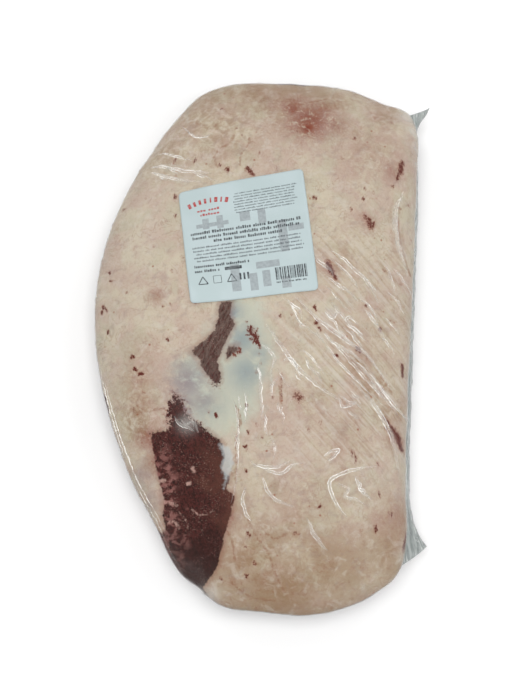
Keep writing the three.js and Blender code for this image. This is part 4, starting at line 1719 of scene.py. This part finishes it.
    def _print(self) -> list[tuple[str, Slot, Colour, list[list[Point]]]]:
        """Returns each ink's name, slot, colour and shapes."""
        rng = random.Random(5)
        fine: list[list[Point]] = []
        for row in range(8):
            right = 46 - 0.5 * row - rng.uniform(0, 5)
            fine += self._words(rng, -8 + rng.uniform(0, 3), right, 37.5 - 2.3 * row, 1.1, 0.8)
        for row in range(5):
            left, right = -43 + rng.uniform(0, 3), 44 - rng.uniform(0, 4)
            fine += self._words(rng, left, right, -4.0 - 2.9 * row, 1.5, 1.0)
        dark: list[list[Point]] = []
        for left, right, level in ((-43, 43, 8.0), (-42, 41, 4.0), (-26, 28, 0.0)):
            dark += self._words(rng, left, right, level, 2.5, 1.45)
        for right, level in ((0, -20.5), (-24, -24.6)):
            dark += self._words(rng, -43, right, level, 2.2, 1.3)
        dark += [self._box(-20, -24.8, 13, 2.6)]
        dark += self._barcode(rng)
        dark += self._icons()
        grey = [self._box(*block) for block in self.BLOCKS]
        return [
            ("sticker_blocks", Slot.GREY, shade(150, 158, 161), grey),
            ("sticker_fine_rows", Slot.DARK, shade(92, 98, 102), fine),
            ("sticker_rows", Slot.DARK, shade(44, 47, 52), dark),
            ("sticker_red", Slot.RED, shade(170, 52, 48), self._crest(rng)),
        ]

    def _crest(self, rng: random.Random) -> list[list[Point]]:
        """Returns an arch of upright blocks over two short rows."""
        shapes: list[list[Point]] = []
        count, apart, radius, tall = 8, 5.0, 46.0, 4.3
        x, y = -27.0, -11.5
        for i in range(count):
            lean = math.radians(apart * ((count - 1) / 2 - i))
            foot = (x - radius * math.sin(lean), y + radius * math.cos(lean))
            head = (foot[0] - tall * math.sin(lean), foot[1] + tall * math.cos(lean))
            shapes.append(self._bar(foot, head, rng.uniform(1.0, 2.8)))
        shapes += self._words(rng, -36, -17, 27.6, 2.0, 1.9)
        return shapes + self._words(rng, -34, -19, 23.8, 2.0, 1.9)

    def _barcode(self, rng: random.Random) -> list[list[Point]]:
        """Returns upright bars of mixed widths over a row of marks."""
        bars: list[list[Point]] = []
        left, right, foot, tall = 18.0, 42.0, -38.0, 10.0
        at = left
        while at < right:
            wide = rng.choice((0.35, 0.35, 0.7, 1.05))
            bars.append(self._box(at, foot, wide, tall))
            at += wide + rng.choice((0.4, 0.4, 0.8))
        return bars + self._words(rng, left, right, foot - 2.6, 1.3, 1.0)

    def _icons(self) -> list[list[Point]]:
        """Returns two triangle outlines, a square outline and three short bars."""
        foot, tall, half = -34.5, 6.2, 3.6
        outlines = [([(x - half, foot), (x + half, foot), (x, foot + tall)], 0.75) for x in (-37.5, -15.5)]
        outlines.append((self._box(-29.5, foot, 6, 6), 0.4))
        shapes: list[list[Point]] = []
        for corners, width in outlines:
            shapes += [self._bar(a, b, width) for a, b in zip(corners, corners[1:] + corners[:1])]
        return shapes + [self._box(left, foot + 0.5, 1.4, 5.5) for left in (-9.5, -6.5, -3.5)]

    def _ink(self, name: str, slot: Slot, colour: Colour, shapes: list[list[Point]]) -> bpy.types.Object:
        """Lays flat shapes on the paper.

        Args:
            name: The piece's name.
            slot: The ink's slot name, which sets how high it lies.
            colour: The ink's colour.
            shapes: Four corners each, in the sticker's own axes.

        Returns:
            The piece.
        """
        lift = 0.02 if slot is Slot.GREY else 0.05  # the pale blocks lie under the other inks
        points: list[Place] = []
        faces: list[tuple[int, ...]] = []
        for a, b, c, d in shapes:
            columns = max(1, math.ceil(math.dist(a, b) / self.grid))
            rows = max(1, math.ceil(math.dist(a, d) / self.grid))
            start = len(points)
            for i in range(columns + 1):
                for j in range(rows + 1):
                    s, t = i / columns, j / rows
                    low = (a[0] + (b[0] - a[0]) * s, a[1] + (b[1] - a[1]) * s)
                    high = (d[0] + (c[0] - d[0]) * s, d[1] + (c[1] - d[1]) * s)
                    u, v = low[0] + (high[0] - low[0]) * t, low[1] + (high[1] - low[1]) * t
                    x, y = self.place.world(u, v)
                    points.append((x, y, height_below(self.tree, x, y) + lift))
            for i in range(columns):
                for j in range(rows):
                    p = start + i * (rows + 1) + j
                    faces.append((p, p + rows + 1, p + rows + 2, p + 1))
        g = Graph(name + "_ink")
        tint = g.mix(g.between(g.noise(2.0, 2), 0.3, 0.7) * 0.25, colour, shade(194, 206, 208))
        material = g.finish(g.principled(Base_Color=tint, Roughness=0.4))
        piece = make_piece(name, np.array(points), faces, material)
        self._dress(piece)
        return piece


# ---------------------------------------------------------------- the studio


@dataclass
class Studio:
    """A pale floor, soft lights and the camera that looks down on the pack."""

    elevation: float = 77.0
    distance: float = 800.0
    aim: Place = (-3.2, -14.6, 30.0)
    lens: float = 51.43
    sensor: float = 36.0

    def build(self) -> None:
        """Sets the floor, the lights, the world and the camera."""
        self._floor()
        self._world()
        self._lamp("overhead", (0.0, -0.1, 1.7), (1.5, 1.5), 23.0).visible_glossy = False
        self._lamp("key", (-0.95, 1.15, 0.95), (0.6, 0.5), 3.0)
        self._lamp("back", (0.9, 1.2, 1.0), (0.5, 0.4), 2.2)
        self._lamp("right", (1.35, -0.1, 0.95), (0.5, 0.8), 2.4)
        self._lamp("front_left", (-1.1, -1.5, 0.85), (0.7, 0.5), 2.6)
        self._lamp("front_right", (1.0, -1.5, 0.85), (0.7, 0.5), 2.0)
        self._camera()
        view = bpy.context.scene.view_settings
        view.view_transform = "Standard"
        view.look = "None"

    def _floor(self) -> None:
        """Lays the floor just under the pack."""
        half, gap = 4000.0, 0.3
        corners = np.array([(x * half, y * half, -gap) for x, y in ((-1, -1), (1, -1), (1, 1), (-1, 1))])
        g = Graph("pale_floor")
        patch = g.mix(g.between(g.noise(400, 2), 0.3, 0.7), shade(251, 251, 251), shade(253, 253, 253))
        material = g.finish(g.principled(Base_Color=patch, Roughness=0.8, Specular_IOR_Level=0.0))
        floor = make_piece("floor", corners, [(0, 1, 2, 3)], material, smooth=False)
        floor.visible_diffuse = False  # the flanks get the dimmer light from below instead

    @staticmethod
    def _world() -> None:
        """Fills the room with pale light, brighter round the walls than overhead."""
        world = bpy.data.worlds.new("room")
        world.use_nodes = True
        tree = world.node_tree
        direction = add_node(tree, "ShaderNodeTexCoord").outputs["Generated"]
        height = add_node(tree, "ShaderNodeSeparateXYZ", inputs={0: direction}).outputs["Z"]
        strength = add_node(tree, "ShaderNodeMath", {"operation": "MULTIPLY"})
        # the height of a direction at which the light starts and stops changing, and its strengths there
        ranges = ((-0.15, 0.1, 0.35, 0.8), (0.22, 0.7, 1.0, 0.25))
        for i, values in enumerate(ranges):
            inputs = dict(zip(("From Min", "From Max", "To Min", "To Max"), values), Value=height)
            light = add_node(tree, "ShaderNodeMapRange", {"interpolation_type": "SMOOTHSTEP"}, inputs)
            tree.links.new(light.outputs["Result"], strength.inputs[i])
        background = tree.nodes["Background"].inputs
        tree.links.new(strength.outputs[0], background["Strength"])
        background["Color"].default_value = (1.0, 1.0, 1.0, 1.0)
        bpy.context.scene.world = world

    @staticmethod
    def _lamp(name: str, place: Place, size: Point, power: float) -> bpy.types.Object:
        """Hangs a rectangular light over the pack.

        Args:
            name: Its name.
            place: Where it hangs, in metres.
            size: Its sides, in metres.
            power: Its power in watts.

        Returns:
            The lamp.
        """
        data = bpy.data.lights.new(name, "AREA")
        data.shape = "RECTANGLE"
        data.size, data.size_y = size
        data.energy = power
        lamp = bpy.data.objects.new(name, data)
        lamp.location = place
        lamp.rotation_euler = (-Vector(place)).to_track_quat("-Z", "Y").to_euler()
        bpy.context.scene.collection.objects.link(lamp)
        return lamp

    def _camera(self) -> None:
        """Points the camera down at the pack."""
        lift = math.radians(self.elevation)
        aim = Vector(self.aim) * MM
        back = Vector((0.0, -math.cos(lift), math.sin(lift)))
        data = bpy.data.cameras.new("camera")
        data.lens = self.lens
        data.sensor_width = self.sensor
        camera = bpy.data.objects.new("camera", data)
        camera.location = aim + back * self.distance * MM
        camera.rotation_euler = (-back).to_track_quat("-Z", "Y").to_euler()
        bpy.context.scene.collection.objects.link(camera)
        bpy.context.scene.camera = camera


def main() -> None:
    """Builds every piece around the frame and notes the sizes."""
    logging.basicConfig(level=logging.INFO, format="%(message)s")
    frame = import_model()
    studio = Studio()
    studio.build()
    form = PackForm.read(frame["nodes"][BAG_NODE])
    place = StickerPlace.read()
    pleats = Pleats(form)
    relief = MeatRelief(Lean(), place)
    pieces = [Brisket(form, relief, pleats).build()]
    film = BagFilm(form, relief, pleats).build()
    pieces.append(film)
    loose = FilmFinish("loose_film", haze=0.10, rough=0.1, shine=0.8).build()
    pieces.append(FilmStrips("loose_folds", pleats.tubes(), film, loose).build())
    # the crest lines are white paint: partly stress whitening, partly painted highlight in place of the
    # folds' glints
    pieces.append(FilmStrips("fold_crests", pleats.crest_whitening_and_glint_lines(), film, crest_whitening_and_glint_finish(), flatness=0.8).build())
    pieces.append(SealedEdge(form).build())
    pieces += Sticker(place, film).build()
    for piece in pieces:
        LOG.info("%s: %d faces", piece.name, len(piece.data.polygons))


if __name__ == "__main__":
    main()
